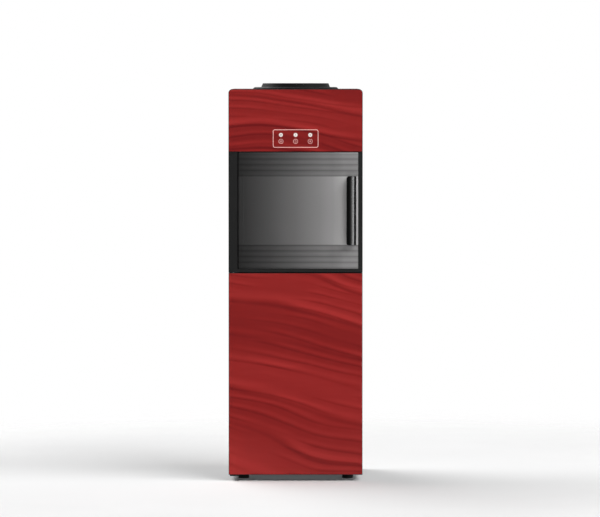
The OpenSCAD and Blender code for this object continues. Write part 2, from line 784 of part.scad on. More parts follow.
module lever_plate(x) {
    tail = lever_arm + stem_r + 4;
    difference() {
        union() {
            translate([0, 0, pivot_z - lever_t / 2]) linear_extrude(lever_t) union() {
                translate([x - lever_w / 2, pivot_y - lever_l]) square([lever_w, lever_l + tail]);
                translate([x, pivot_y - lever_l]) circle(paddle_r);
            }
            rod_x(x - lever_w / 2, x + lever_w / 2, pivot_y, pivot_z, hub_r);
        }
        rod_x(x - lever_w, x + lever_w, pivot_y, pivot_z, lever_pin_r + run_fit);
        // Slot that the valve stem passes through
        slab(x - stem_r - gap, x + stem_r + gap, tap_y - stem_r - 1.5, tap_y + stem_r + 1.5,
            pivot_z - lever_t, pivot_z + lever_t);
    }
}
module tap_lever(x, tint) { color(tint) lever_plate(x); }
module tap_lever_hot() {
    color(hot_red) {
        lever_plate(tap_x[0]);
        // Rails that guide the lock
        for (side = [-1, 1]) let (rail = tap_x[0] + side * (slider[0] / 2 + fit + 0.75))
            slab(rail - 0.75, rail + 0.75, slider_y - slider[1] / 2,
                slider_y + slider[1] / 2 + slider_travel,
                pivot_z + lever_t / 2 - 0.2, pivot_z + lever_t / 2 + 2);
    }
}
module hot_lock() {
    z = pivot_z + lever_t / 2 + 0.1;
    color("white") {
        slab(tap_x[0] - slider[0] / 2, tap_x[0] + slider[0] / 2, slider_y - slider[1] / 2,
            slider_y + slider[1] / 2,
            z, z + slider[2]);
        for (i = [-1 : 1]) slab(tap_x[0] - slider[0] / 2, tap_x[0] + slider[0] / 2,
            slider_y + i * 3 - 0.6, slider_y + i * 3 + 0.6, z + slider[2] - 0.2, z + slider[2] + 0.8);
    }
}
module tap_plunger(x) {
    head_z = pivot_z + lever_t / 2 + stem_head_gap;
    color(white_plastic) {
        rod_z(x, tap_y, tap_seat_z + 0.3, tap_seat_z + plunger_t, chamber_in - 1.5);
        rod_z(x, tap_y, tap_seat_z + plunger_t - 1, head_z + 1, stem_r);
        rod_z(x, tap_y, head_z, head_z + 3, stem_r + 2);
    }
}
spring_r = (stem_r + chamber_in) / 2;
spring_z0 = tap_seat_z + plunger_t + spring_wire + 0.3;
spring_z1 = tap_top_z - cap_spigot - spring_wire - 0.3;
function spring_path(x) =
    helix(x, tap_y, spring_r, spring_z0, (spring_z1 - spring_z0) / spring_turns, spring_turns, 8, 0);
module tap_spring(x) { color(steel) tube(spring_path(x), spring_wire, 6); }

module tap_nuts() {
    color(steel) for (x = tap_x) difference() {
        translate([x, niche_back + 6, tap_z]) rotate([90, 0, 0]) cylinder(h = 6, r = shank_r + 5, $fn = 6);
        rod_y(x, niche_back - cut, niche_back + 6 + cut, tap_z, shank_r + fit / 2);
    }
}
module hinge_pins() {
    ear_x = lever_w / 2 + ear_gap + ear_t;
    color(steel) {
        for (x = tap_x) rod_x(x - ear_x, x + ear_x, pivot_y, pivot_z, lever_pin_r);
        rod_z(tap_hinge_x, tap_hinge_y, frame_z0 + rail_h - tap_pin_l / 2,
            tap_door_z0 + tap_pin_l - gap, tap_pin_r);
        rod_z(tap_hinge_x, tap_hinge_y, tap_door_z1 - tap_pin_l + gap, bezel_z0 + tap_pin_l, tap_pin_r);
    }
}

// Smoked door
module flutes(z0, z1) {
    count = round((z1 - z0) / flute_pitch);
    step = (z1 - z0) / count;
    for (i = [0 : count - 1])
        rod_x(tap_hinge_x + barrel_r, tap_door_x1 + cut, tap_door_y0 - flute_r + flute_depth,
            z0 + (i + 0.5) * step, flute_r);
}
module tap_door() {
    color(smoke_grey) difference() {
        union() {
            slab(tap_hinge_x, tap_door_x1, tap_door_y0, tap_door_y1, tap_door_z0, tap_door_z1);
            rod_z(tap_hinge_x, tap_hinge_y, tap_door_z0, tap_door_z1, barrel_r);
            slab(raised_x0, tap_door_x1, raised_y, tap_door_y1 - 1, raised_z0, raised_z1);
        }
        flutes(tap_door_z0 + 2, raised_z0);
        flutes(raised_z1, tap_door_z1 - 2);
        rod_z(tap_hinge_x, tap_hinge_y, tap_door_z0 - cut, tap_door_z0 + tap_pin_l, tap_pin_r + run_fit);
        rod_z(tap_hinge_x, tap_hinge_y, tap_door_z1 - tap_pin_l, tap_door_z1 + cut, tap_pin_r + run_fit);
    }
}
module tap_door_handle() {
    x1 = tap_door_x1 - handle_edge;
    x0 = x1 - handle_w;
    lip_y = front_y - handle_proud;
    color(rubber_black) {
        upright(lip_y, lip_y + handle_lip) round_rect(x0, x1, raised_z0, raised_z1, handle_corner);
        slab(x1 - handle_foot, x1, lip_y + handle_lip / 2, raised_y, raised_z0 + handle_corner,
            raised_z1 - handle_corner);
    }
}
module door_magnet() { color("#3a3a3c") magnet_block(0); }

// Fridge
module cavity(grow, y0) {
    slab(-cav_x - grow, cav_x + grow, y0, cav_y1 + grow, step_top - grow, cav_z1 + grow);
    slab(-cav_x - grow, cav_x + grow, y0, low_y1 + grow, cav_z0 - grow, cav_z1 + grow);
}
module fridge_liner() {
    color(white_plastic) {
        difference() {
            union() {
                cavity(liner_t, cab_y);
                slab(-in_x, in_x, cab_y, cab_y + liner_t, foam_z0, foam_z1);
            }
            cavity(0, cab_y - cut);
        }
        for (x = [-cav_x - 1, cav_x - ledge_w])
            slab(x, x + ledge_w + 1, shelf_y0 - 30, shelf_y1, shelf_top - ledge_t, shelf_top);
    }
}
module foam_insulation() {
    color(foam_yellow) {
        difference() {
            union() {
                slab(-in_x, in_x, cab_y + liner_t, in_y, step_z, foam_z1);
                slab(-in_x, in_x, cab_y + liner_t, bay_y, foam_z0, foam_z1);
            }
            cavity(liner_t, cab_y);
            for (x = [-chase_x, chase_x]) slab(x - chase_w / 2, x + chase_w / 2, in_y - chase_w, in_y + cut,
                step_z - cut, foam_z1 + cut);
            for (x = [-1, 1], z = rear_screw_z)
                rod_y(x * (in_x - flange_w / 2), in_y - screw_l, in_y + cut, z, screw_r + fit);
        }
        difference() {
            rod_z(0, collar_y, shelf_z + sheet_t, tank_z1 - 2, jacket_r);
            rod_z(0, collar_y, tank_z0, tank_z1, jacket_in);
            for (p = port_xy()) rod_z(p[0], p[1], shelf_z, tank_z0 + cut, hose_r + gap);
            rod_y(coil_path_r, collar_y, collar_y + jacket_r, coil_z1, coil_r + gap);
            rod_y(-coil_path_r, collar_y, collar_y + jacket_r, coil_z0, coil_r + gap);
            for (x = [-hot_r / 2, hot_r / 2]) rod_z(x, hot_y, shelf_z, shelf_z + 8, 6);
        }
    }
}
module fridge_evaporator() {
    z0 = shelf_top + 24;
    z1 = cav_z1 - 12;
    x1 = cav_x - 30;
    color("#c9ccd0") {
        slab(-x1, x1, cav_y1 - evap_gap - evap_t, cav_y1 - evap_gap, z0, z1);
        for (x = [-x1 + 10, x1 - 10], z = [z0 + 8, z1 - 8]) rod_y(x, cav_y1 - evap_gap - 0.2, cav_y1, z, 4);
        for (i = [0 : 3]) slab(-x1 + 14, x1 - 14, cav_y1 - evap_gap - evap_t - 1.5, cav_y1 - evap_gap - 0.2,
            z0 + (i + 0.6) * (z1 - z0) / 4.4, z0 + (i + 0.6) * (z1 - z0) / 4.4 + 7);
    }
}
module fridge_shelf() {
    sx = cav_x - 1;
    bars = 11;
    bay = (2 * sx - 16) / bars;
    color("#dfe6ea") difference() {
        union() {
            slab(-sx, sx, shelf_y0, shelf_y1, shelf_top + 0.1, shelf_top + 0.1 + shelf_t);
            slab(-sx + ledge_w + 2, sx - ledge_w - 2, shelf_y0, shelf_y0 + 5, shelf_top - 5,
                shelf_top + shelf_t + 5);
        }
        for (i = [0 : bars - 1]) slab(-sx + 8 + i * bay + 3, -sx + 8 + (i + 1) * bay - 3,
            shelf_y0 + 14, shelf_y1 - 10, shelf_top - cut, shelf_top + shelf_t + cut);
    }
}
module fridge_door_frame() {
    grip_z = foot_h + fridge_door_h * 0.72;
    color(trim_black) difference() {
        slab(-half_w, half_w, glass_y, door_y - door_plate, foot_h, door_top);
        slab(-half_w + door_rim, half_w - door_rim, glass_y + wall_t, door_y, foot_h + door_rim,
            door_top - door_rim);
        for (z = [foot_h - cut, door_top - pin_l - gap])
            rod_z(fridge_hinge_x, fridge_hinge_y, z, z + pin_l + gap + cut, hinge_pin_r + run_fit);
        // Finger grip in the free edge
        slab(half_w - grip_d, half_w + cut, glass_y + 2 * wall_t, door_y, grip_z - grip_h / 2,
            grip_z + grip_h / 2);
    }
}
module fridge_door_glass() {
    color(red_glass) upright(front_y, glass_y) round_rect(-half_w + edge_border, half_w - edge_border,
        foot_h + edge_border, door_top - edge_border, 1.5);
}
module fridge_door_foam() {
    color(foam_yellow) slab(-half_w + door_rim + fit, half_w - door_rim - fit, glass_y + wall_t + fit,
        door_y - door_plate,
        foot_h + door_rim + fit, door_top - door_rim - fit);
}
module fridge_door_liner() {
    color(white_plastic) {
        slab(-half_w + 4, half_w - grip_d - 1, door_y - door_plate, door_y, foot_h + 4, door_top - 4);
        for (z = rack_z) difference() {
            slab(rack_x0, rack_x1, door_y - 1, cab_y + rack_d, z, z + rack_h);
            slab(rack_x0 + rack_t, rack_x1 - rack_t, door_y, cab_y + rack_d - rack_t, z + rack_t,
                z + rack_h + cut);
        }
    }
}
module fridge_door_gasket() {
    x1 = half_w - grip_d - 2;
    color("#d4d6d6") upright(door_y, cab_y - 0.3) difference() {
        round_rect(gasket_x0, x1, cav_z0 - gasket_w + 2, cav_z1 + gasket_w - 2, 5);
        round_rect(gasket_x0 + gasket_w, x1 - gasket_w, cav_z0 + 2, cav_z1 - 2, 2);
    }
}
module hinge_bracket_top() {
    color(steel) {
        hinge_plate_outline(0);
        rod_z(fridge_hinge_x, fridge_hinge_y, door_top - pin_l, door_top + gap + 0.5, hinge_pin_r);
    }
}
module hinge_bracket_bottom() {
    x0 = -half_w + 3;
    x1 = -half_w + 2 * hinge_inset;
    z0 = foot_h - gap - bracket_t;
    color(trim_black) {
        slab(x0, x1, fridge_hinge_y - 7, cab_y + 2, z0, foot_h - gap);
        slab(x0, x1, cab_y, cab_y + 8, z0, foot_h);
        rod_z(fridge_hinge_x, fridge_hinge_y, foot_h - gap - 0.5, foot_h + pin_l, hinge_pin_r);
    }
}

// Bottle collar and tanks
module bottle_collar() {
    w = collar_wall;
    color(trim_black) translate([0, collar_y, 0]) rotate_extrude() polygon([
        [seat_r, collar_z1], [rim_r, collar_z1], [collar_r, body_h + collar_flange_t],
        [flange_r - 1.5, body_h + collar_flange_t], [flange_r, body_h + collar_flange_t - 1.5],
            [flange_r, body_h],
        [seat_r + w, body_h], [seat_r + w, seat_z0], [well_r + w, neck_z], [well_r + w, well_z0],
        [well_r - 5, well_z0], [well_r - 5, well_z0 + w], [well_r, well_z0 + w], [well_r, neck_z + 1],
        [seat_r, seat_z0 + 1]
    ]);
}
module bottle_probe() {
    base_z = well_z0 + collar_wall;
    top_z = seat_z0 - 4;
    probe_r = well_r * 9 / 58;
    nose = probe_r * 8 / 9;
    color(white_plastic) translate([0, collar_y, 0]) difference() {
        union() {
            rod_z(0, 0, base_z, base_z + collar_wall, well_r - fit);
            rod_z(0, 0, base_z, top_z - nose, probe_r);
            translate([0, 0, top_z - nose]) cylinder(h = nose, r1 = probe_r, r2 = nose / 2);
        }
        rod_z(0, 0, base_z - cut, top_z - 1.5 * nose, probe_r - collar_wall);
        for (a = [0 : 90 : 270]) rotate(a) rod_z(well_r * 38 / 58, 0, base_z - cut,
            base_z + collar_wall + cut, well_r * 7 / 58);
        for (a = [0, 90]) rotate(a) rod_x(-probe_r - cut, probe_r + cut, 0, top_z - 2 * nose,
            probe_r / 3);
    }
}
module cold_tank() {
    neck = 8;
    color(steel) translate([0, collar_y, 0]) difference() {
        union() {
            rod_z(0, 0, tank_z0, tank_z1, tank_r);
            rod_z(0, 0, tank_z1 - 1, tank_z1 + neck, well_r + collar_wall + fit + tank_wall);
        }
        rod_z(0, 0, tank_z0 + tank_wall, tank_z1 - tank_wall, tank_r - tank_wall);
        rod_z(0, 0, tank_z1 - tank_wall - cut, tank_z1 + neck + cut, well_r + collar_wall + fit);
        for (p = port_xy()) rod_z(p[0], p[1] - collar_y, tank_z0 - cut, tank_z0 + tank_wall + cut,
            hose_r - 1);
    }
}
module hot_tank() {
    wall = 1.5;
    f = 12;
    color(steel) {
        difference() {
            union() {
                translate([0, hot_y, hot_z0]) can(hot_r, hot_h, f);
                for (z = [hot_z0 + hot_h * 0.2, hot_z0 + hot_h * 0.4]) rod_z(0, hot_y, z, z + 14,
                    hot_r + 2);
                for (x = [-hot_r / 2, hot_r / 2]) rod_z(x, hot_y, hot_z1 - wall, shelf_z, 6);
                for (x = [-hot_r / 2, hot_r / 2]) rod_z(x, hot_y, shelf_z - 1, shelf_z + sheet_t + 6, 3);
            }
            translate([0, hot_y, hot_z0 + wall]) can(hot_r - wall, hot_h - 2 * wall, f - wall);
        }
    }
}
// Places of the hoses under the cold tank: cold tap, normal tap, hot tank and drain
function port_xy() = [
    [tap_pitch * 0.62, collar_y - 2], [0, shank_end + 12], [-tap_pitch * 0.8, collar_y + 8],
        [tap_pitch * 0.85, collar_y + 32]
];
module water_hoses() {
    port = port_xy();
    top = tank_z0 - 0.2;
    low = drain_z;
    turn = tap_z + 36;
    bend = hose_r * 2;
    stub = in_y - 8;
    hot_side = -hot_r - fit;
    hot_turn = -tap_pitch - 3.2 * hose_r;
    color("#d9d9d4") {
        tube(bent([[port[0][0], port[0][1], top], [port[0][0], port[0][1], turn], [tap_pitch,
            shank_end + 22, turn],
            [tap_pitch, shank_end + 22, tap_z], [tap_pitch, shank_end + 0.2, tap_z]], bend), hose_r);
        tube(bent([[port[1][0], port[1][1], top], [port[1][0], port[1][1], tap_z], [0, shank_end + 0.2,
            tap_z]], bend), hose_r);
        tube(bent([[port[2][0], port[2][1], top], [port[2][0], port[2][1], low], [0, hot_y, low], [0,
            hot_y, hot_z0 - 0.2]],
            bend), hose_r);
        tube(bent([[hot_side, hot_y, tap_z + 20], [hot_turn, hot_y, tap_z + 20], [hot_turn,
            shank_end + 14, tap_z],
            [-tap_pitch, shank_end + 14, tap_z], [-tap_pitch, shank_end + 0.2, tap_z]], hose_r * 1.3),
                hose_r);
        tube(bent([[port[3][0], port[3][1], top], [port[3][0], port[3][1], low], [drain_x,
            port[3][1] + 20, low],
            [drain_x, stub, low]], bend), hose_r);
        tube(bent([[hot_side, hot_y, hot_z0 + 18], [-drain_x, hot_y, hot_z0 + 18], [-drain_x,
            hot_y + 20, low],
            [-drain_x, stub, low]], hose_r * 1.3), hose_r);
    }
}

// Cooling machine
module compressor() {
    shell = 12;
    f = 26;
    z = comp_z0 + comp_plate[2];
    color("#1a1a1b") {
        difference() {
            union() {
                translate([comp_x, comp_y, z - 1]) can(compressor_r, compressor_h + 1, f);
                rod_z(comp_x, comp_y, z + compressor_h * 0.5 - 3, z + compressor_h * 0.5 + 3,
                    compressor_r + 2.5);
                slab(comp_x - comp_plate[0] / 2, comp_x + comp_plate[0] / 2, comp_y - comp_plate[1] / 2,
                    comp_y + comp_plate[1] / 2, comp_z0, z);
                for (x = [-1, 1]) rod_z(comp_x + x * stub_x, comp_y + stub_x, comp_z1 - 12,
                    comp_z1 + stub_h, coil_r + 1);
                slab(comp_x + compressor_r - 12, comp_x + compressor_r + 26, comp_y - 24, comp_y + 24,
                    z + compressor_h * 0.3, z + compressor_h * 0.3 + 46);
            }
            translate([comp_x, comp_y, z + shell]) can(compressor_r - shell, compressor_h - 2 * shell,
                f - shell);
            for (p = grommet_xy()) rod_z(p[0], p[1], comp_z0 - cut, z + cut, 4 + fit);
        }
    }
}
function grommet_xy() = [for (x = [-1, 1], y = [-1, 1])
    [comp_x + x * (comp_plate[0] / 2 - 12), comp_y + y * (comp_plate[1] / 2 - 12)]];
module compressor_grommets() {
    color(rubber_black) for (p = grommet_xy()) {
        rod_z(p[0], p[1], foot_h + pan_t, comp_z0, 9);
        rod_z(p[0], p[1], comp_z0 - 1, comp_z0 + comp_plate[2], 4);
        rod_z(p[0], p[1], comp_z0 + comp_plate[2], comp_z0 + comp_plate[2] + 4, 7);
    }
}
module wire_layer(y0) {
    count = floor(condenser_half / wire_pitch);
    over = 12;
    upright(y0, y0 + wire_t) {
        for (i = [-count : count]) translate([i * wire_pitch - wire_t / 2, cond_z0 - over])
            square([wire_t, cond_z1 - cond_z0 + 2 * over]);
        for (z = [cond_z0 - over, cond_z1 + over - wire_t]) translate([-count * wire_pitch, z])
            square([2 * count * wire_pitch, wire_t]);
    }
}
module condenser() {
    reach = run_pitch / 2 - 0.1;
    x = condenser_half - condenser_r;
    path = [for (i = [0 : run_count - 1], e = [0, 1])
        let (side = (i + e) % 2 == 0 ? -1 : 1) [side * x, cond_y, cond_z0 + i * run_pitch]];
    block = 10;
    block_x = wire_pitch * floor(0.7 * condenser_half / wire_pitch);
    color(rubber_black) {
        union() {
            wire_layer(wire_y);
            for (x = [-block_x, block_x], z = [cond_z0 + run_pitch, cond_z1 - run_pitch])
                slab(x - block / 2, x + block / 2, back_y, wire_y + wire_t / 2, z - block / 2,
                    z + block / 2);
        }
        tube(bent(path, reach, 5), condenser_r);
        wire_layer(wire_y + wire_t + 2 * (condenser_r + weld_gap));
    }
}
coil_path = helix(0, collar_y, coil_path_r, coil_z0, coil_pitch, coil_turns + 0.5, coil_steps, 180);
module refrigerant_pipes() {
    pipe_y = in_y - chase_w / 2;
    low_z = step_z - 16;
    lead = 2 * coil_r;
    drier_z = low_z - 34;
    drier_l = 60;
    drier_r = 8;
    thin_r = 2;
    stub_top = comp_z1 + stub_h + fit;
    end_x = condenser_half - condenser_r + fit;
    // Up the left chase to the coil's foot, and from its top down the right chase to the compressor
    feed = bent([[-chase_x, pipe_y, drier_z], [-chase_x, pipe_y, coil_z0], [-coil_path_r, pipe_y, coil_z0],
        [-coil_path_r, collar_y + lead, coil_z0]], 8);
    suction = bent([[coil_path_r, collar_y + lead, coil_z1], [coil_path_r, pipe_y, coil_z1], [chase_x,
        pipe_y, coil_z1],
        [chase_x, pipe_y, low_z], [chase_x, comp_y + stub_x, low_z], [comp_x + stub_x, comp_y + stub_x,
            low_z],
        [comp_x + stub_x, comp_y + stub_x, stub_top]], 8);
    color(copper) {
        tube(concat(feed, coil_path, suction), coil_r, 6);
        rod_z(-chase_x, pipe_y, drier_z - drier_l, drier_z - fit, drier_r);
        // From the compressor up to the condenser's top, and from its foot to the drier
        tube(bent([[comp_x - stub_x, comp_y + stub_x, stub_top], [comp_x - stub_x, comp_y + stub_x, low_z],
            [comp_x - stub_x, cond_y, low_z], [end_x + 9, cond_y, low_z], [end_x + 9, cond_y, cond_z1],
            [end_x, cond_y, cond_z1]], 5), thin_r);
        tube(bent([[-end_x, cond_y, cond_z0], [-chase_x, cond_y, cond_z0], [-chase_x, cond_y,
            drier_z - drier_l - 12],
            [-chase_x, pipe_y, drier_z - drier_l - 12], [-chase_x, pipe_y, drier_z - drier_l - fit]],
                4), thin_r);
    }
}

// Rear fittings
function housing_x() = rocker_w / 2 + rocker_gap + 1.5;
function housing_z() = rocker_h / 2 + rocker_gap + 1.5;
module service_plate() {
    color(trim_black) difference() {
        union() {
            upright(back_y, service_y) round_rect(service_x - service_w / 2, service_x + service_w / 2,
                service_z - service_h / 2, service_z + service_h / 2, 4);
            for (x = rocker_x) slab(x - housing_x(), x + housing_x(), back_y - housing_d, back_y + 1,
                service_z - housing_z(), service_z + housing_z());
            rod_y(gland_x, back_y - sheet_t - 2, back_y + gland_l, service_z, gland_r);
        }
        for (x = rocker_x) {
            slab(x - rocker_w / 2 - rocker_gap, x + rocker_w / 2 + rocker_gap,
                back_y - housing_d + 1.5, service_y + cut,
                service_z - rocker_h / 2 - rocker_gap, service_z + rocker_h / 2 + rocker_gap);
            rod_x(x - housing_x() - cut, x + housing_x() + cut, back_y - 1, service_z,
                rocker_pin_r + run_fit);
        }
        rod_y(knob_x, back_y - cut, service_y + cut, service_z, knob_shaft_r + run_fit);
        rod_y(gland_x, back_y - sheet_t - 2 - cut, back_y + gland_l + cut, service_z, cord_r);
    }
}
module rocker_switch(x) {
    face = service_y + 2.5 - (back_y - 1);
    half = rocker_h / 2 - 0.6;
    dip = half * tan(rocker_lean);
    color("#e8e6e2") translate([x, back_y - 1, service_z]) rotate([-rocker_lean, 0, 0]) {
        rotate([0, 90, 0]) translate([0, 0, -rocker_w / 2]) linear_extrude(rocker_w)
            polygon([[-half, -4], [half, -4], [half, face], [0, face - dip], [-half, face]]);
        rod_x(-rocker_w / 2 - rocker_gap - 1.2, rocker_w / 2 + rocker_gap + 1.2, 0, 0, rocker_pin_r);
    }
}
module thermostat_knob() {
    color(white_plastic) difference() {
        union() {
            rod_y(knob_x, service_y + 0.3, service_y + knob_h, service_z, knob_r);
            rod_y(knob_x, back_y - 10, service_y + 1, service_z, knob_shaft_r);
            slab(knob_x - 2.5, knob_x + 2.5, service_y + knob_h - 1, service_y + knob_h + 4,
                service_z - knob_r + 2, service_z + knob_r - 2);
        }
        slab(knob_x - 0.6, knob_x + 0.6, service_y + knob_h + 3, service_y + knob_h + 5, service_z + 2,
            service_z + knob_r);
    }
}
module drain_caps() {
    ribs = 10;
    color(trim_black) for (x = [-drain_x, drain_x]) {
        rod_y(x, in_y - 7.8, back_y + 1, drain_z, drain_stub_r);
        difference() {
            rod_y(x, back_y + 0.2, back_y + drain_l, drain_z, drain_r);
            for (i = [0 : ribs - 1]) let (a = 360 * i / ribs)
                rod_y(x + (drain_r + 1.2) * cos(a), back_y + 3, back_y + drain_l + cut,
                    drain_z + (drain_r + 1.2) * sin(a), 2);
        }
    }
}

echo(least_coil_gap = least_gap(coil_path, coil_r, coil_steps));
echo(least_spring_gap = least_gap(spring_path(0), spring_wire, 8));

base_pan();
rubber_feet();
cabinet_screws();
side_panel_left();
side_panel_right();
rear_panel();
top_cover();
tank_shelf();
top_bezel();
top_glass();
indicator_lenses();
control_board();
niche_frame();
niche_liner();
drip_tray();
drip_grille();
tap_body(tap_x[0]);  // tap_body_hot
tap_body(tap_x[1]);  // tap_body_normal
tap_body(tap_x[2]);  // tap_body_cold
tap_lever_hot();
tap_lever(tap_x[1], white_plastic);  // tap_lever_normal
tap_lever(tap_x[2], cold_blue);  // tap_lever_cold
tap_plunger(tap_x[0]);  // tap_plunger_hot
tap_plunger(tap_x[1]);  // tap_plunger_normal
tap_plunger(tap_x[2]);  // tap_plunger_cold
tap_spring(tap_x[0]);  // tap_spring_hot
tap_spring(tap_x[1]);  // tap_spring_normal
tap_spring(tap_x[2]);  // tap_spring_cold
tap_caps();
tap_nuts();
hinge_pins();
hot_lock();
tap_door();
tap_door_handle();
door_magnet();
fridge_liner();
foam_insulation();
fridge_evaporator();
fridge_shelf();
fridge_door_frame();
fridge_door_glass();
fridge_door_foam();
fridge_door_liner();
fridge_door_gasket();
hinge_bracket_top();
hinge_bracket_bottom();
bottle_collar();
bottle_probe();
cold_tank();
hot_tank();
water_hoses();
compressor();
compressor_grommets();
condenser();
service_plate();
rocker_switch(rocker_x[0]);  // rocker_hot
rocker_switch(rocker_x[1]);  // rocker_cold
thermostat_knob();
drain_caps();
refrigerant_pipes();
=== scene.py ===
import json
import math

import bmesh
import bpy
import numpy as np
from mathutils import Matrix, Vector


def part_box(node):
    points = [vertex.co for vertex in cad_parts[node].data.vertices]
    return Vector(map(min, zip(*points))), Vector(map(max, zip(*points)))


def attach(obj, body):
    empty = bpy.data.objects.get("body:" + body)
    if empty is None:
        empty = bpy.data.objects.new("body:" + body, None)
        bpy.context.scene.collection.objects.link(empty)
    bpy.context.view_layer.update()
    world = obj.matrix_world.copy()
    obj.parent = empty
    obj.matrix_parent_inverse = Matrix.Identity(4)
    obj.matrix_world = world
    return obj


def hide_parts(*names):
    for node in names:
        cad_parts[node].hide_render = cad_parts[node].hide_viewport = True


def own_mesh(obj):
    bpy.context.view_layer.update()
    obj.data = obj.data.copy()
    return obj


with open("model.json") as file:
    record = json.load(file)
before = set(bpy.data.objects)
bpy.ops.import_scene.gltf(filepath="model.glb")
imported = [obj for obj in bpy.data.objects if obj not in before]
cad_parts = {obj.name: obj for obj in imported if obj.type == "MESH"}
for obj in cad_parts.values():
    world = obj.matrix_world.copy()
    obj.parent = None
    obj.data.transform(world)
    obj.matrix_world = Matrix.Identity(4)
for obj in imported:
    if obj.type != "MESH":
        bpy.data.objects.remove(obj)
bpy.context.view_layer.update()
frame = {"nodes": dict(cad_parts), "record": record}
scene = bpy.context.scene
scene.view_settings.view_transform = "Standard"
bodyOf = {node: body for body, nodes in frame["record"]["behaviour"]["bodies"].items() for node in nodes}
slotOf = {part["node"]: part["material_slot"] for part in frame["record"]["subparts"]}


def corners(node):  # lowest and highest corner of a node as arrays
    low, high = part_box(node)
    return np.array(low), np.array(high)


def added(name, data):
    made = bpy.data.objects.new(name, data)
    scene.collection.objects.link(made)
    return made


# Camera: just above the top cover, looking a little down at the middle of the front
frontY = corners("fridge_door_glass")[0][1]
viewSet = {"away": 10.0, "eye": 0.998, "aimX": 0.0109, "aimZ": 0.5494, "across": 1.4764}


def placeCamera():
    v = viewSet
    eye = np.array([v["aimX"], frontY - v["away"], v["eye"]])
    aim = np.array([v["aimX"], frontY, v["aimZ"]])
    lens = bpy.data.cameras.new("frontView")
    lens.sensor_fit = "HORIZONTAL"
    lens.lens = lens.sensor_width * np.linalg.norm(aim - eye) / v["across"]
    camera = added("frontView", lens)
    camera.location = eye
    camera.rotation_euler = (math.pi / 2 - math.atan2(eye[2] - aim[2], v["away"]), 0, 0)
    scene.camera = camera


placeCamera()
print("camera placed")


# Shapes: each is a pair of vertex array and face list

# Quads between neighbouring rows and columns of a grid, wrapping where the grid closes
def gridFaces(rows, cols, closeRows=False):
    r = np.arange(rows if closeRows else rows - 1)[:, None]
    c = np.arange(cols)
    r2, c2 = (r + 1) % rows, (c + 1) % cols
    quads = np.stack([r * cols + c, r * cols + c2, r2 * cols + c2, r2 * cols + c], -1)
    return quads.reshape(-1, 4).tolist()


# A grid of points, with its first and last row filled where it is open
def gridShape(points, closeRows=False):
    rows, cols = points.shape[:2]
    faces = gridFaces(rows, cols, closeRows)
    if not closeRows:
        faces += [list(range(cols))[::-1], list(range((rows - 1) * cols, rows * cols))]
    return points.reshape(-1, 3), faces


def wholeTurn(steps):
    return np.linspace(0, 2 * math.pi, steps, endpoint=False)


def unit(vectors):
    return vectors / np.linalg.norm(vectors, axis=1, keepdims=True)


def joined(shapes):
    starts = np.cumsum([0] + [len(s[0]) for s in shapes])
    faces = [[i + int(k) for i in f] for s, k in zip(shapes, starts) for f in s[1]]
    return np.concatenate([s[0] for s in shapes]), faces


# Closed outline with each corner replaced by a quadratic curve that starts the given distance before it,
# or at a share of the shorter side
def softened(points, radius, steps=4, share=0.45):
    p = np.asarray(points, float)
    before, after = np.roll(p, 1, 0) - p, np.roll(p, -1, 0) - p
    lenB, lenA = (np.linalg.norm(v, axis=1, keepdims=True) for v in (before, after))
    cut = np.minimum(radius, share * np.minimum(lenB, lenA))
    start, end = p + before / lenB * cut, p + after / lenA * cut
    t = np.linspace(0, 1, steps + 1)[:, None]
    curve = (1 - t) ** 2 * start[:, None] + 2 * t * (1 - t) * p[:, None] + t ** 2 * end[:, None]
    return curve.reshape(-1, 2)


# Rectangle with quarter-circle corners, drawn counter-clockwise and moved inwards by inset
def roundedOutline(x0, x1, z0, z1, radius, inset=0.0, steps=6, least=0.00005):
    x0, x1, z0, z1 = x0 + inset, x1 - inset, z0 + inset, z1 - inset
    r = max(radius - inset, least)
    a = np.linspace(0, math.pi / 2, steps + 1)
    centre = np.array([[x1 - r, z1 - r], [x0 + r, z1 - r], [x0 + r, z0 + r], [x1 - r, z0 + r]])
    turn = a + (np.arange(4) * math.pi / 2)[:, None]
    return (centre[:, None] + r * np.stack([np.cos(turn), np.sin(turn)], -1)).reshape(-1, 2)


def circleOutline(x, z, radius, steps=40):
    a = wholeTurn(steps)
    return lambda inset: np.stack([x + (radius - inset) * np.cos(a), z + (radius - inset) * np.sin(a)], -1)


# An outline carried through pairs of inset and y: one ring of points for each pair
def carried(outline, profile, closed=False):
    rings = [np.insert(outline(i), 1, y, axis=1) for i, y in profile]
    return gridShape(np.array(rings), closed)


# Pairs of inset and y over a quarter-round edge that ends at yFace; a negative edge faces the rear
def quarterRound(edge, yFace, steps=4):
    a = np.linspace(0, math.pi / 2, steps + 1)
    return list(zip(abs(edge) * (1 - np.cos(a)), yFace + edge * (1 - np.sin(a))))


# Plate with a quarter-round front edge, and one more ring on its face at some edge widths from the rim
def plate(box, yFront, yBack, radius, edge, faceRing=1.6):
    profile = [(0, yBack)] + quarterRound(edge, yFront) + [(edge * faceRing, yFront)]
    return carried(lambda i: roundedOutline(*box, radius, i), profile)


# A profile of radius and height turned about an axis, its radius rippled by a cosine where ripple is set
def turned(profile, centre, axis="z", steps=48, ripple=0, depth=0.0):
    p = np.asarray(profile, float)
    a = wholeTurn(steps)
    r = p[:, :1] * (1 - np.reshape(depth, (-1, 1)) * (0.5 + 0.5 * np.cos(ripple * a)))
    u, v, h = np.broadcast_arrays(r * np.cos(a), r * np.sin(a), p[:, 1:])
    points = np.stack([u, v, h] if axis == "z" else [u, h, v], -1)
    return gridShape(points + centre, True)


def rod(radius, start, end, centre, axis, steps):
    return turned([(0, start), (radius, start), (radius, end), (0, end)], centre, axis, steps)


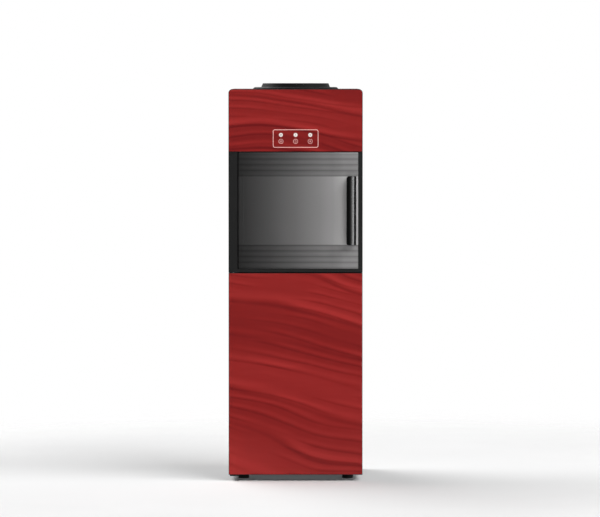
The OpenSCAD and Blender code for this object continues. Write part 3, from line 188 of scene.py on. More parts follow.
# Circle carried along a path, its frame kept from twisting by a fixed reference direction
def tube(path, radius, sides=12, reference=(0, 1, 0)):
    p = np.asarray(path, float)
    along = unit(np.gradient(p, axis=0))
    side = unit(np.cross(along, reference))
    up = np.cross(side, along)
    a = wholeTurn(sides)
    ring = side[:, None] * np.cos(a)[:, None] + up[:, None] * np.sin(a)[:, None]
    return gridShape(p[:, None] + radius * ring)


def smoothStep(low, high, value):
    t = np.clip((value - low) / (high - low), 0, 1)
    return t * t * (3 - 2 * t)


# How far a round edge lies inside its corner, at a distance from the end: radius less the circle's height
def roundIn(radius, gap):
    return radius - np.sqrt(np.maximum(radius ** 2 - np.maximum(radius - gap, 0) ** 2, 0))


mergeSet = {"made": 1e-6, "cad": 1e-5, "flat": 0.3}  # distances in metres, and degrees that count as flat


def settle(name, mesh, finish, body, nodes, crease):
    mesh.shade_smooth()
    mesh.set_sharp_from_angle(angle=math.radians(crease))
    mesh.materials.clear()
    mesh.materials.append(finish)
    piece = added(name, mesh)
    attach(piece, body)
    if nodes:
        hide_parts(*nodes)
    return piece


def makePiece(name, shape, finish, body, nodes=(), crease=40):
    mesh = bpy.data.meshes.new(name)
    mesh.from_pydata(shape[0].tolist(), [], shape[1])
    work = bmesh.new()
    work.from_mesh(mesh)
    bmesh.ops.remove_doubles(work, verts=work.verts, dist=mergeSet["made"])
    bmesh.ops.recalc_face_normals(work, faces=work.faces)
    work.to_mesh(mesh)
    work.free()
    return settle(name, mesh, finish, body, nodes, crease)


# A piece in the place of a node, on the node's body and in its slot
def remade(name, shape, node, crease=40, finish=None):
    slot = slotOf[node]
    return makePiece(name, shape, finish or finishes[slot], bodyOf[node], [node], crease)


# Merged copy of a CAD node whose sharp edges get a small moulded or folded radius
def edgedCopy(node, finish, edge, steps=2, crease=40):
    mesh = frame["nodes"][node].data.copy()
    mesh.name = node + "Edged"
    work = bmesh.new()
    work.from_mesh(mesh)
    bmesh.ops.remove_doubles(work, verts=work.verts, dist=mergeSet["cad"])
    flat = math.radians(mergeSet["flat"])
    bmesh.ops.dissolve_limit(work, angle_limit=flat, verts=work.verts, edges=work.edges)
    work.to_mesh(mesh)
    work.free()
    oldNormals = mesh.attributes.get("custom_normal")
    if oldNormals:
        mesh.attributes.remove(oldNormals)
    piece = settle(node + "Edged", mesh, finish, bodyOf[node], [node], crease)
    if edge:
        bevel = piece.modifiers.new("edge", "BEVEL")
        bevel.width = edge
        bevel.segments = steps
        bevel.limit_method = "ANGLE"
        bevel.angle_limit = math.radians(crease)
        bevel.harden_normals = True


# Finishes: procedural, on Object coordinates

def startFinish(name):
    finish = bpy.data.materials.new(name)
    finish.use_nodes = True
    tree = finish.node_tree
    return finish, tree, tree.nodes["Principled BSDF"]


# Outputs of a new node, whose inputs are either linked or set
def put(tree, kind, inputs=None, **settings):
    made = tree.nodes.new("ShaderNode" + kind)
    for key, value in settings.items():
        setattr(made, key, value)
    for key, value in (inputs or {}).items():
        if isinstance(value, bpy.types.NodeSocket):
            tree.links.new(value, made.inputs[key])
        else:
            made.inputs[key].default_value = value
    return made.outputs


# The functions that start from a socket find the tree as its id_data
def sums(operation, a, b=0.0, c=0.0):
    return put(a.id_data, "Math", {0: a, 1: b, 2: c}, operation=operation)[0]


def ranged(value, low, high, toLow, toHigh, style="LINEAR"):
    return put(value.id_data, "MapRange", {0: value, 1: low, 2: high, 3: toLow, 4: toHigh},
               interpolation_type=style)[0]


def eased(value, low, high, toLow, toHigh):
    return ranged(value, low, high, toLow, toHigh, "SMOOTHSTEP")


# Mix of two colours, each a socket or three numbers
def blended(share, first, second):
    a, b = (c if isinstance(c, bpy.types.NodeSocket) else (*c, 1.0) for c in (first, second))
    return put(share.id_data, "Mix", {0: share, 6: a, 7: b}, data_type="RGBA")[2]


def objectPlace(tree, stretch=(1, 1, 1)):
    place = put(tree, "TexCoord")["Object"]
    return put(tree, "Mapping", {"Vector": place, "Scale": stretch})[0]


def noise(place, scale, detail):
    return put(place.id_data, "TexNoise", {"Vector": place, "Scale": scale, "Detail": detail})[0]


def cells(place, scale):
    return put(place.id_data, "TexVoronoi", {"Vector": place, "Scale": scale})


# Noise stretched to the span from low to high, from the part of its range that it mostly keeps to
def varied(place, scale, detail, low, high, usual=(0.3, 0.7)):
    return ranged(noise(place, scale, detail), *usual, low, high)


# Colour, roughness and relief of a finish, each from a socket
def dress(shader, colour, rough, height, depth, strength=1.0):
    tree = shader.id_data
    bump = put(tree, "Bump", {"Height": height, "Distance": depth, "Strength": strength})
    for name, value in (("Base Color", colour), ("Roughness", rough), ("Normal", bump[0])):
        tree.links.new(value, shader.inputs[name])


# Moulded, painted or drawn surface: broad tone drift, uneven gloss in patches, fine grain in the relief
def surface(name, colour, rough, metal=0.0, drift=0.08, driftScale=14, grain=0.00002, grainScale=1400,
            stretch=(1, 1, 1), spread=0.05, specular=0.4, coat=0.0, coatRough=0.06, clear=0.0, patches=9):
    finish, tree, shader = startFinish(name)
    colour = np.ones(3) * colour
    place = objectPlace(tree, stretch)
    tone = varied(place, driftScale, 4, 0, 1)
    gloss = varied(place, driftScale * patches, 3, rough - spread, rough + spread)
    dress(shader, blended(tone, colour * (1 - drift), colour * (1 + drift)), gloss,
          noise(place, grainScale, 2), grain)
    for socket, value in (("Metallic", metal), ("Specular IOR Level", specular), ("Coat Weight", coat),
                          ("Coat Roughness", coatRough), ("Transmission Weight", clear)):
        shader.inputs[socket].default_value = value
    return finish


# A layer of folds: folds per metre, scale and reach of the noise that shifts them, crease's share of a fold,
# scale, span and least share of the noise that hides them, and weight. A ridge is in widths of its crease
# rise and the low edge term paint the tone lighter towards the bottom, as painted light
drapeSet = {
    "dark": (0.162, 0.0100, 0.0108), "mid": (0.262, 0.0178, 0.0166), "light": (0.385, 0.030, 0.028),
    "slope": 0.17, "bend": 0.11, "bendScale": 2.2, "bendStretch": (1.2, 1, 0.8), "base": 0.55, "rise": -0.2,
    "lowPaintedLight": (0.02, 0.22, 0.22), "wave": 0.17, "waveTurn": 2.1, "flow": (0.5, 1, 1.5), "ridge": (0.7, 2, 5),
    "broad": {"count": 13.0, "shift": (3.6, 1.5), "crease": 0.08, "hide": (5.1, 0.38, 0.6, 0.3),
              "weight": 0.37},
    "fine": {"count": 41.0, "shift": (4.6, 2.6), "crease": 0.14, "hide": (7.3, 0.42, 0.62, 0.0),
             "weight": 0.24},
    "streaks": 0.16, "streakScale": 30, "streakStretch": (0.4, 1, 3), "rough": (0.09, 0.16),
    "roughScale": 60, "relief": 0.0001, "reliefScale": 18, "reliefStrength": 0.3, "specular": 0.2,
}


# Height counted in folds, shifted along the flow
def foldPhase(flow, fall, layer):
    scale, reach = layer["shift"]
    counted = sums("MULTIPLY", fall, layer["count"])
    return sums("MULTIPLY_ADD", noise(flow, scale, 1), reach, counted)


# Tone of a fold that comes and goes along the flow: a dark crease, a light ridge above it, a slow return
def foldTone(flow, phase, layer):
    width = layer["crease"]
    scale, hidden, whole, least = layer["hide"]
    saw = sums("FRACT", phase)
    crease = sums("ADD", eased(saw, 0, width, 1, 0), eased(saw, 1 - width, 1, 0, 1))
    start, top, end = (share * width for share in drapeSet["ridge"])
    ridge = sums("MULTIPLY", eased(saw, start, top, 0, 1), eased(saw, top, end, 1, 0))
    shown = eased(noise(flow, scale, 1), hidden, whole, least, 1)
    return sums("MULTIPLY", sums("SUBTRACT", ridge, crease), shown)


# Back-printed glass: broad and fine folds over one slow wave, on lines that fall to the right, bent by noise.
# Its tone is painted lighter towards the bottom, and more so near the lower edge, as painted light
def drapedGlass():
    finish, tree, shader = startFinish("redDrape")
    d = drapeSet
    place, flow = objectPlace(tree), objectPlace(tree, d["flow"])
    part = put(tree, "SeparateXYZ", {0: place})
    bend = noise(objectPlace(tree, d["bendStretch"]), d["bendScale"], 1)
    fall = sums("ADD", sums("MULTIPLY_ADD", part[0], d["slope"], part[2]),
                sums("MULTIPLY_ADD", bend, d["bend"], -d["bend"] / 2))
    phases = {kind: foldPhase(flow, fall, d[kind]) for kind in ("broad", "fine")}
    wave = sums("SINE", sums("MULTIPLY", phases["broad"], d["waveTurn"]))
    # Painted light: the tone rises towards the bottom
    tone = sums("MULTIPLY_ADD", part[2], d["rise"], d["base"])
    tone = sums("MULTIPLY_ADD", wave, d["wave"], tone)
    for kind, phase in phases.items():
        tone = sums("MULTIPLY_ADD", foldTone(flow, phase, d[kind]), d[kind]["weight"], tone)
    streaks = noise(objectPlace(tree, d["streakStretch"]), d["streakScale"], 2)
    tone = sums("MULTIPLY_ADD", streaks, d["streaks"], sums("ADD", tone, -d["streaks"] / 2))
    # Painted light: lighter still near the lower edge
    tone = sums("ADD", tone, eased(part[2], *d["lowPaintedLight"], 0))
    lower = blended(ranged(tone, 0.0, 0.5, 0, 1), d["dark"], d["mid"])
    dress(shader, blended(ranged(tone, 0.5, 1.0, 0, 1), lower, d["light"]),
          varied(place, d["roughScale"], 3, *d["rough"]),
          noise(place, d["reliefScale"], 2), d["relief"], d["reliefStrength"])
    shader.inputs["Specular IOR Level"].default_value = d["specular"]
    return finish


# Tint and painted sheen are pairs of the share of the way across and the brightness there. The brightness
# rises towards the handle side as a painted reflection, and more steeply just beside the handle as painted
# light where the handle's shadow falls
smokeSet = {
    "across": (-0.1415, 0.1545), "drift": 0.012, "driftScale": 9, "greenBlue": 0.985, "specular": 0.25,
    "rough": (0.16, 0.25), "roughScale": 130, "grain": 0.000008, "grainScale": 900,
    "tintAndPaintedSheen": (
        (0.0, 0.031), (0.07, 0.04), (0.26, 0.077), (0.47, 0.139), (0.68, 0.225), (0.79, 0.295), (0.85, 0.39),
        (0.885, 0.46), (1.0, 0.5)),
}


# Smoked acrylic: a dark tint whose colour is painted lighter steadily towards the handle side as a painted
# reflection, and lighter still just beside the handle as painted light where the handle's shadow falls
def smokedTintPaintedSheen():
    finish, tree, shader = startFinish("smokedTintPaintedSheen")
    s = smokeSet
    place = objectPlace(tree)
    part = put(tree, "SeparateXYZ", {0: place})
    drift = sums("MULTIPLY_ADD", noise(place, s["driftScale"], 2), s["drift"], part[0])
    share = ranged(drift, *(edge + s["drift"] / 2 for edge in s["across"]), 0, 1)
    ramp = put(tree, "ValToRGB", {0: share})
    stops = ramp[0].node.color_ramp.elements
    stops[0].position, stops[1].position = s["tintAndPaintedSheen"][0][0], s["tintAndPaintedSheen"][-1][0]
    for at, tone in s["tintAndPaintedSheen"][1:-1]:
        stops.new(at)
    for stop, (at, tone) in zip(stops, s["tintAndPaintedSheen"]):
        stop.color = (tone, tone * s["greenBlue"], tone * s["greenBlue"], 1)
    # The painted shade of the flutes and the painted reflection at the upper rim scale the colour
    paintedShadeAndRimSheen = put(tree, "Attribute", attribute_name="paintedShadeAndRimSheen")["Fac"]
    dress(shader, blended(paintedShadeAndRimSheen, (0, 0, 0), ramp[0]), varied(place, s["roughScale"], 3, *s["rough"]),
          noise(place, s["grainScale"], 2), s["grain"])
    shader.inputs["Specular IOR Level"].default_value = s["specular"]
    return finish


zincSet = {
    "cells": 130.0, "dark": (0.42, 0.44, 0.46), "light": (0.62, 0.64, 0.66), "rough": (0.3, 0.5),
    "grain": 0.00001, "grainScale": 1500,
}


# Galvanised sheet: flat crystal cells that differ in tone and gloss
def zincCoat():
    finish, tree, shader = startFinish("zincCoat")
    z = zincSet
    place = objectPlace(tree)
    tone = put(tree, "SeparateColor", {0: cells(place, z["cells"])["Color"]})
    dress(shader, blended(tone[0], z["dark"], z["light"]), ranged(tone[1], 0, 1, *z["rough"]),
          noise(place, z["grainScale"], 2), z["grain"])
    shader.inputs["Metallic"].default_value = 1.0
    return finish


foamSet = {
    "cells": 420.0, "span": (0.0, 0.7), "deep": (0.55, 0.45, 0.24), "skin": (0.76, 0.66, 0.42),
    "rough": (0.95, 0.8), "relief": 0.0006,
}


# Polyurethane foam: skin broken by round cells
def foamCells():
    finish, tree, shader = startFinish("foamCells")
    f = foamSet
    away = cells(objectPlace(tree), f["cells"])["Distance"]
    colour = blended(ranged(away, *f["span"], 0, 1), f["deep"], f["skin"])
    dress(shader, colour, ranged(away, *f["span"], *f["rough"]), away, f["relief"])
    return finish


boardSet = {
    "stretch": (1, 0.02, 1), "traces": 160.0, "gap": 0.06, "mask": (0.012, 0.12, 0.04),
    "trace": (0.03, 0.25, 0.09), "pads": 260.0, "padEdge": (0.12, 0.2), "tin": (0.6, 0.58, 0.5),
    "rough": (0.38, 0.2), "relief": 0.00003,
}


# Circuit board: solder mask over a maze of traces, with tinned pads
def boardMask():
    finish, tree, shader = startFinish("boardMask")
    b = boardSet
    place = objectPlace(tree, b["stretch"])
    upright = put(tree, "Mapping", {"Vector": place, "Rotation": (math.pi / 2, 0, 0)})[0]
    maze = {"Vector": upright, "Scale": b["traces"], "Mortar Size": b["gap"]}
    line = put(tree, "TexBrick", maze)["Fac"]
    pad = ranged(cells(place, b["pads"])["Distance"], *b["padEdge"], 1, 0)
    dress(shader, blended(pad, blended(line, b["mask"], b["trace"]), b["tin"]),
          ranged(pad, 0, 1, *b["rough"]), line, b["relief"])
    return finish


finishes = {
    "red_glass": drapedGlass(),
    "smoked_acrylic": smokedTintPaintedSheen(),
    "zinc_sheet": zincCoat(),
    "foam": foamCells(),
    "board_green": boardMask(),
    "dark_trim": surface(
        "trimBlack", (0.016, 0.016, 0.017), 0.36, grain=1.2e-5, grainScale=1900, specular=0.25),
    "frame_black": surface("frameGrained", 0.0145, 0.46, grain=3e-5, grainScale=1500, specular=0.14),
    "handle_black": surface("handleGloss", 0.0004, 0.26, grain=4e-7, specular=0.3, spread=0.006),
    "painted_sheet": surface(
        "powderCoat", (0.075, 0.076, 0.08), 0.48, drift=0.05, grain=5e-5, grainScale=900),
    "steel": surface(
        "brushedSteel", (0.6, 0.6, 0.61), 0.3, metal=1.0, drift=0.1, driftScale=60, stretch=(0.05, 1, 1),
        grain=1.2e-5, spread=0.09),
    "white_plastic": surface("whiteGloss", (0.76, 0.77, 0.77), 0.28, drift=0.02, grain=8e-6),
    "liner_white": surface("linerWhite", (0.78, 0.79, 0.79), 0.42, drift=0.025, grain=3e-5, grainScale=700),
    "clear_shelf": surface("clearShelf", (0.75, 0.85, 0.88), 0.12, drift=0.02, grain=6e-6, clear=0.75),
    "copper": surface(
        "drawnCopper", (0.62, 0.28, 0.15), 0.32, metal=1.0, drift=0.16, driftScale=40, spread=0.1),
    "rubber_black": surface(
        "rubberMatt", 0.02, 0.72, drift=0.2, driftScale=90, grain=6e-5, grainScale=1100, specular=0.3),
    "gasket_grey": surface("gasketGrey", (0.52, 0.53, 0.53), 0.5, drift=0.06, driftScale=40, grain=3e-5),
    "hose_clear": surface("hoseSilicone", (0.7, 0.7, 0.66), 0.38, drift=0.05, driftScale=50, clear=0.3),
    "lens_white": surface("lensWhite", (0.93, 0.85, 0.81), 0.25, drift=0.02, driftScale=120, grain=6e-6),
    "lever_red": surface("leverRed", (0.5, 0.016, 0.022), 0.28, drift=0.06, grain=1e-5),
    "lever_white": surface("leverWhite", 0.78, 0.28, drift=0.03, grain=1e-5),
    "lever_blue": surface("leverBlue", (0.022, 0.095, 0.42), 0.28, drift=0.06, grain=1e-5),
    "black_enamel": surface(
        "blackEnamel", (0.014, 0.014, 0.015), 0.26, drift=0.15, driftScale=50, grain=3e-5, grainScale=500,
        coat=0.2),
    "magnet": surface("magnetBare", (0.1, 0.1, 0.105), 0.5, metal=0.6, drift=0.15, driftScale=180),
}
printWhite = surface("printWhite", (0.95, 0.52, 0.49), 0.4, drift=0.05, driftScale=300, grain=6e-6)
printGrey = surface("printGrey", (0.28, 0.28, 0.29), 0.45, drift=0.08, driftScale=300, grain=6e-6)
coverBlack = surface("coverBlack", (0.016, 0.016, 0.017), 0.58, grain=4e-5, grainScale=1200, specular=0.12)
collarBlack = surface("collarBlack", (0.009, 0.009, 0.0095), 0.5, grain=2e-5, specular=0.05)
footRubber = surface(
    "footRubber", 0.007, 0.7, drift=0.2, driftScale=90, grain=6e-5, grainScale=1100, specular=0.2)
darkOxide = surface("darkOxide", (0.03, 0.03, 0.032), 0.45, metal=0.7, drift=0.15, driftScale=200)
for node, cadObject in frame["nodes"].items():
    for place in cadObject.material_slots:
        place.material = darkOxide if node == "hinge_pins" else finishes[slotOf[node]]
print("finishes made:", len(bpy.data.materials))


# Red panels: the fridge door's sheet of glass and the top panel, both with a ground edge
glassSet = {"corner": 0.0015, "edge": 0.0012, "topEdge": 0.0009, "topSteps": 3}
low, high = corners("fridge_door_glass")
box = (low[0], high[0], low[2], high[2])
fridgeGlass = plate(box, low[1], high[1], glassSet["corner"], glassSet["edge"])
remade("fridgeGlass", fridgeGlass, "fridge_door_glass")
edgedCopy("top_glass", finishes["red_glass"], glassSet["topEdge"], glassSet["topSteps"])

# Smoked door: the first values shape its section and ends, the next its raised panel, the last its flutes
doorSet = {
    "barrel": 0.005, "edge": 0.0012, "edgeIn": 0.7, "trim": 0.0006, "wideStart": 0.013, "rowGap": 0.0006,
    "endRows": (0, 0.0003, 0.0007), "raised": 0.001, "raisedHeight": 0.17, "raisedStart": 0.008,
    "raisedSoft": 0.0006, "bandSoft": (-0.0004, 0.0008), "fluteRadius": 0.018, "fluteDepth": 0.001,
    "flutePitch": 0.014, "fluteMargin": 0.002, "fluteRun": 0.012,
}


# Flutes lie above and below the raised panel: their span, their step, how far a height is past the panel, and
# its distance to the nearest crest between two flutes
def flutePlace(z):
    low, high = corners("tap_door")
    d = doorSet
    span = (high[2] - low[2] - d["raisedHeight"]) / 2 - d["fluteMargin"]
    step = span / round(span / d["flutePitch"])
    past = np.abs(z - (low[2] + high[2]) / 2) - d["raisedHeight"] / 2
    return span, step, past, np.abs((past + step / 2) % step - step / 2)


# The section runs along the back, round the hinge barrel, over the front and round the free edge. Flutes push
# the front in as circles do, and the raised panel pushes it out
def smokedDoor():
    low, high = corners("tap_door")
    d = doorSet
    hingeX, y0, y1 = low[0] + d["barrel"], low[1] + d["raised"], high[1]
    hingeY, e, right = y0 + d["barrel"], d["edge"], high[0] - d["trim"]
    arc = np.linspace(math.pi / 2, 1.5 * math.pi, 20)
    turnA = np.linspace(-math.pi / 2, 0, 6)
    turnB = turnA + math.pi / 2
    backX = np.linspace(right - e, hingeX, 12)[:-1]
    nearX = np.linspace(hingeX, hingeX + d["fluteRun"], 16)[1:]
    frontX = np.r_[nearX, np.linspace(hingeX + d["wideStart"], right - e, 60)]
    x = np.r_[backX, hingeX + d["barrel"] * np.cos(arc), frontX, right - e + e * np.cos(turnA[1:]),
              right - e + e * np.cos(turnB)]
    y = np.r_[np.full(len(backX), y1), hingeY + d["barrel"] * np.sin(arc), np.full(len(frontX), y0),
              y0 + e + e * np.sin(turnA[1:]), y1 - e + e * np.sin(turnB)]
    weight = np.r_[np.zeros(len(backX) + len(arc)), np.ones(len(frontX)),
                   np.linspace(1, 0, len(turnA))[1:], np.zeros(len(turnB))]
    tall = high[2] - low[2]
    ends = np.r_[d["endRows"], e]
    rows = np.linspace(e + d["rowGap"], tall - e - d["rowGap"], 300)
    z = low[2] + np.r_[ends, rows, tall - ends[::-1]]
    inward = d["edgeIn"] * roundIn(e, np.minimum(z - low[2], high[2] - z))[:, None]

    span, step, past, toCrest = flutePlace(z)
    hollow = np.sqrt(d["fluteRadius"] ** 2 - (step / 2 - toCrest) ** 2) - d["fluteRadius"] + d["fluteDepth"]
    depth = np.where((past > 0) & (past < span), np.maximum(hollow, 0), 0)
    across = smoothStep(hingeX + d["barrel"], hingeX + d["barrel"] + d["fluteRun"], x)
    raisedX = hingeX + d["raisedStart"]
    flank = smoothStep(raisedX - d["raisedSoft"], raisedX + d["raisedSoft"], x)
    band = smoothStep(*d["bandSoft"], -past)
    push = depth[:, None] * across - d["raised"] * band[:, None] * flank
    section = np.stack([x, y], -1)
    tangent = np.roll(section, -1, 0) - np.roll(section, 1, 0)
    outX, outY = np.array([tangent[:, 1], -tangent[:, 0]]) / np.hypot(*tangent.T)
    points = np.broadcast_arrays(x - inward * outX, y + push * weight - inward * outY, z[:, None])
    return gridShape(np.stack(points, -1))


# Shares of the painted shade on the fluted acrylic and of the painted reflection at its upper rim, and where
# along the door they change
paintedShadeSet = {
    "fluteShade": 0.7, "hollow": 0.08, "hollowSpan": (0.25, 0.5), "crest": 0.2, "crestWidth": 0.0028, "rim": 0.35,
    "rimSpan": (0.0045, 0.001), "fadeLower": 0.3, "fadeUpper": 0.32, "fadeAcross": (0.058, 0.122),
    "start": -0.0008,
}


# Painted shade and reflection in the door's colour: the flutes darker than the panel, and darkest at their
# crests, the thickest places, as painted shade of their slopes. The flutes are painted darker towards the
# handle, and the upper rim lighter as a painted reflection
def paintedFluteShadeAndRimSheen(x, z):
    low, high = corners("tap_door")
    s = paintedShadeSet
    step, past, toCrest = flutePlace(z)[1:]
    crest = 1 - smoothStep(0, s["crestWidth"], toCrest)
    hollow = smoothStep(*(share * step for share in s["hollowSpan"]), toCrest)
    rim = s["rim"] * smoothStep(*(high[2] - gap for gap in s["rimSpan"]), z)
    fade = np.where(z > (low[2] + high[2]) / 2, s["fadeUpper"], s["fadeLower"])
    fluted = s["fluteShade"] + s["hollow"] * hollow - s["crest"] * crest
    return np.where(past > s["start"], fluted * (1 - fade * smoothStep(*s["fadeAcross"], x)), 1.0) + rim


doorPiece = remade("smokedDoor", smokedDoor(), "tap_door", crease=28)
# Painted shade and reflection of each point, which the smoked door's colour reads
places = np.empty(len(doorPiece.data.vertices) * 3, np.float32)
doorPiece.data.vertices.foreach_get("co", places)
doorPiece.data.attributes.new("paintedShadeAndRimSheen", "FLOAT", "POINT").data.foreach_set(
    "value", paintedFluteShadeAndRimSheen(places[0::3], places[2::3]).astype(np.float32))

# Handle: a lip on a foot. From its flat front the lip's face turns away to the right and ends in a lower flat
handleSet = {
    "lip": 0.007, "foot": 0.011, "corner": 0.006, "low": 0.0052, "bend": 0.0178, "turn": 23.5, "quick": 0.6,
    "edge": 0.001, "backSoft": 0.0004, "footStep": 0.00001, "rowGap": 0.002,
}


# The turned face's slope grows to its whole turn as a power of the way along it
def doorHandle():
    low, high = corners("tap_door_handle")
    h = handleSet
    x0, x1, lipY, backY = low[0], high[0], low[1], high[1]
    footX, lipBack, e, soft = x1 - h["foot"], lipY + h["lip"], h["edge"], h["backSoft"]
    bendX = np.linspace(x1 - h["bend"], x1 - h["low"], 30)
    slope = np.tan(np.radians(h["turn"]) * np.linspace(0, 1, 30) ** h["quick"])
    bendY = lipY + np.r_[0, np.cumsum((slope[1:] + slope[:-1]) / 2 * np.diff(bendX))]
    lowY = bendY[-1]
    turnA = np.linspace(0, math.pi / 2, 6)
    stretches = (
        (np.linspace(footX, x1, 5), backY),
        (x1, np.linspace(backY, lowY + e, 6)[1:-1]),
        (x1 - e + e * np.cos(turnA), lowY + e - e * np.sin(turnA)),
        (np.linspace(x1 - e, x1 - h["low"], 6)[1:-1], lowY),
        (bendX[::-1], bendY[::-1]),
        (np.linspace(x1 - h["bend"], x0 + e, 8)[1:], lipY),
        (x0 + e - e * np.sin(turnA)[1:], lipY + e - e * np.cos(turnA)[1:]),
        ([x0, x0 + soft], [lipBack - soft, lipBack]),
        (np.linspace(x0 + e, footX, 9), lipBack),
        (footX, np.linspace(lipBack, backY, 6)[1:-1]),
    )
    x, y = np.concatenate([np.stack(np.broadcast_arrays(*pair), -1) for pair in stretches]).T
    c = h["corner"]
    rise = np.r_[c * (1 - np.cos(np.linspace(0, math.pi / 2, 9))), c, c + h["footStep"]]
    rows = np.linspace(low[2] + c + h["rowGap"], high[2] - c - h["rowGap"], 30)
    z = np.r_[low[2] + rise, rows, (high[2] - rise)[::-1]]
    gapZ = np.minimum(z - low[2], high[2] - z)[:, None]
    footOn = gapZ > c + h["footStep"] / 2

    # Ends: the left side follows a quarter circle, the right side a small one, and the front edge is softened
    left, small = roundIn(c, gapZ), roundIn(e, gapZ)
    px = x0 + left + (x - x0) / (x1 - x0) * (x1 - x0 - left - small)
    py = np.where(footOn, y, np.minimum(y, lipBack))
    py = py + small * np.clip((lipBack - py) / h["lip"], 0, 1)
    return gridShape(np.stack(np.broadcast_arrays(px, py, z[:, None]), -1))


remade("doorHandle", doorHandle(), "tap_door_handle", crease=50)
print("red panels, smoked door and handle made")

# Controls: three domed lenses, a line frame round them and a row of ring icons. A glyph is its size and line
panelSet = {
    "pitch": 0.036, "lensR": 0.006, "domed": 0.0003, "window": 0.00485, "mask": 0.0004, "maskSink": 0.00005,
    "maskProud": 0.00006, "iconDrop": 0.0159, "iconR": 0.0059, "iconLine": 0.0009,
    "frameX": (-0.0557, 0.0561), "frameUp": (-0.0313, 0.0134), "frameCorner": 0.0055, "frameLine": 0.0015,
    "glyph": (0.0034, 0.0006), "lensGlyph": (0.0027, 0.0007), "lensSink": 0.0001,
}
printSet = {"sink": 0.0001, "proud": 0.00015, "rearProud": 0.00012}
glyphSet = {"apart": 0.5, "sway": 0.14, "turn": 3.4, "tall": 0.75, "wide": 0.62, "reach": 0.8}
lensTop, lensBack = (corner[1] for corner in corners("indicator_lenses"))
lensZ = sum(corner[2] for corner in corners("indicator_lenses")) / 2
lensX = [i * panelSet["pitch"] for i in (-1, 0, 1)]
iconZ = lensZ - panelSet["iconDrop"]
marks = list(zip(lensX, ("steam", "drop", "frost")))


# One turned profile at each lens's place
def lensRings(profile):
    return joined([turned(profile, (x, 0, lensZ), "y", 40) for x in lensX])


# A lens is flat behind, and its face falls as the square of the distance from its middle
def lensRow():
    r, domed = panelSet["lensR"], panelSet["domed"]
    left = 1 - np.linspace(0, 1, 8)
    return lensRings([(0, lensBack), (r, lensBack)] + list(zip(r * left, lensTop + domed * left ** 2)))


# Red print over each lens's rim, which leaves a round window: it follows the dome and covers the rim's gap
def lensMask():
    p = panelSet
    inner, outer = p["window"], p["lensR"] + p["mask"]
    innerY, outerY = lensTop + p["domed"] * (inner / p["lensR"]) ** 2, lensTop + p["domed"]
    return lensRings([(inner, innerY + p["maskSink"]), (inner, innerY - p["maskProud"]),
                      (outer, outerY - p["maskProud"]), (outer, outerY + p["maskSink"])])


# Root and face of a print: sunk into a surface and proud of it, towards the rear where proud is negative
def printDepth(y, proud):
    return y + math.copysign(printSet["sink"], proud), y - proud


# A flat printed line that follows an outline: from its outer edge to line inside it
def printedRing(outline, line, y, proud=printSet["proud"]):
    root, face = printDepth(y, proud)
    return carried(outline, [(0, root), (0, face), (line, face), (line, root)], True)


# A flat printed stroke between points given in X and Z
def printedStroke(points, width, y, proud=printSet["proud"]):
    p = np.asarray(points, float)
    along = unit(np.gradient(p, axis=0))
    side = np.stack([-along[:, 1], along[:, 0]], -1) * width / 2
    root, face = printDepth(y, proud)
    edges = ((p + side, root), (p + side, face), (p - side, face), (p - side, root))
    return gridShape(np.stack([np.insert(q, 1, v, axis=1) for q, v in edges], 1))


# Steam is three sine lines, a drop is a ring drawn thin at its top, and frost is three crossed lines
def iconGlyph(kind, x, z, y, size, width):
    g = glyphSet
    t = np.linspace(-1, 1, 17)
    a = np.linspace(0, 2 * math.pi, 30)
    if kind == "steam":
        sway = g["sway"] * np.sin(g["turn"] * t)
        lines = [(s * g["apart"] + sway, g["tall"] * t) for s in (-1, 0, 1)]
    elif kind == "drop":
        lines = [(g["wide"] * np.sin(a) * np.sin(a / 2), g["reach"] * np.cos(a))]
    else:
        arm = g["reach"] * t
        lines = [(arm * math.cos(k), arm * math.sin(k)) for k in np.arange(3) * math.pi / 3]
    return [printedStroke(np.stack([x + size * u, z + size * v], -1), width, y) for u, v in lines]


def panelPrint():
    p = panelSet
    box = (*p["frameX"], lensZ + p["frameUp"][0], lensZ + p["frameUp"][1])
    shapes = [printedRing(lambda i: roundedOutline(*box, p["frameCorner"], i, 8), p["frameLine"], frontY)]
    for x, kind in marks:
        shapes.append(printedRing(circleOutline(x, iconZ, p["iconR"]), p["iconLine"], frontY))
        shapes += iconGlyph(kind, x, iconZ, frontY, *p["glyph"])
    return joined(shapes)


def lensPrint():
    y = lensTop + panelSet["lensSink"]
    return joined([s for x, kind in marks for s in iconGlyph(kind, x, lensZ, y, *panelSet["lensGlyph"])])


remade("indicatorLenses", lensRow(), "indicator_lenses", crease=60)
makePiece("lensMask", lensMask(), finishes["red_glass"], "cabinet")
makePiece("panelPrint", panelPrint(), printWhite, "cabinet")
makePiece("lensPrint", lensPrint(), printGrey, "cabinet")

# Bottle collar: one turned moulding with soft edges, its rim above the flange and its seat and well below
collarSet = {
    "soft": 0.0012, "wall": 0.003, "seat": 0.076, "well": 0.058, "rim": 0.082, "foot": 0.086,
    "rimHeight": 0.014, "flange": 0.0045, "flangeSlope": 0.004, "flangeEdge": 0.0018, "seatDrop": 0.02,
    "neckDrop": 0.034, "lip": 0.005, "rise": 0.001,
}


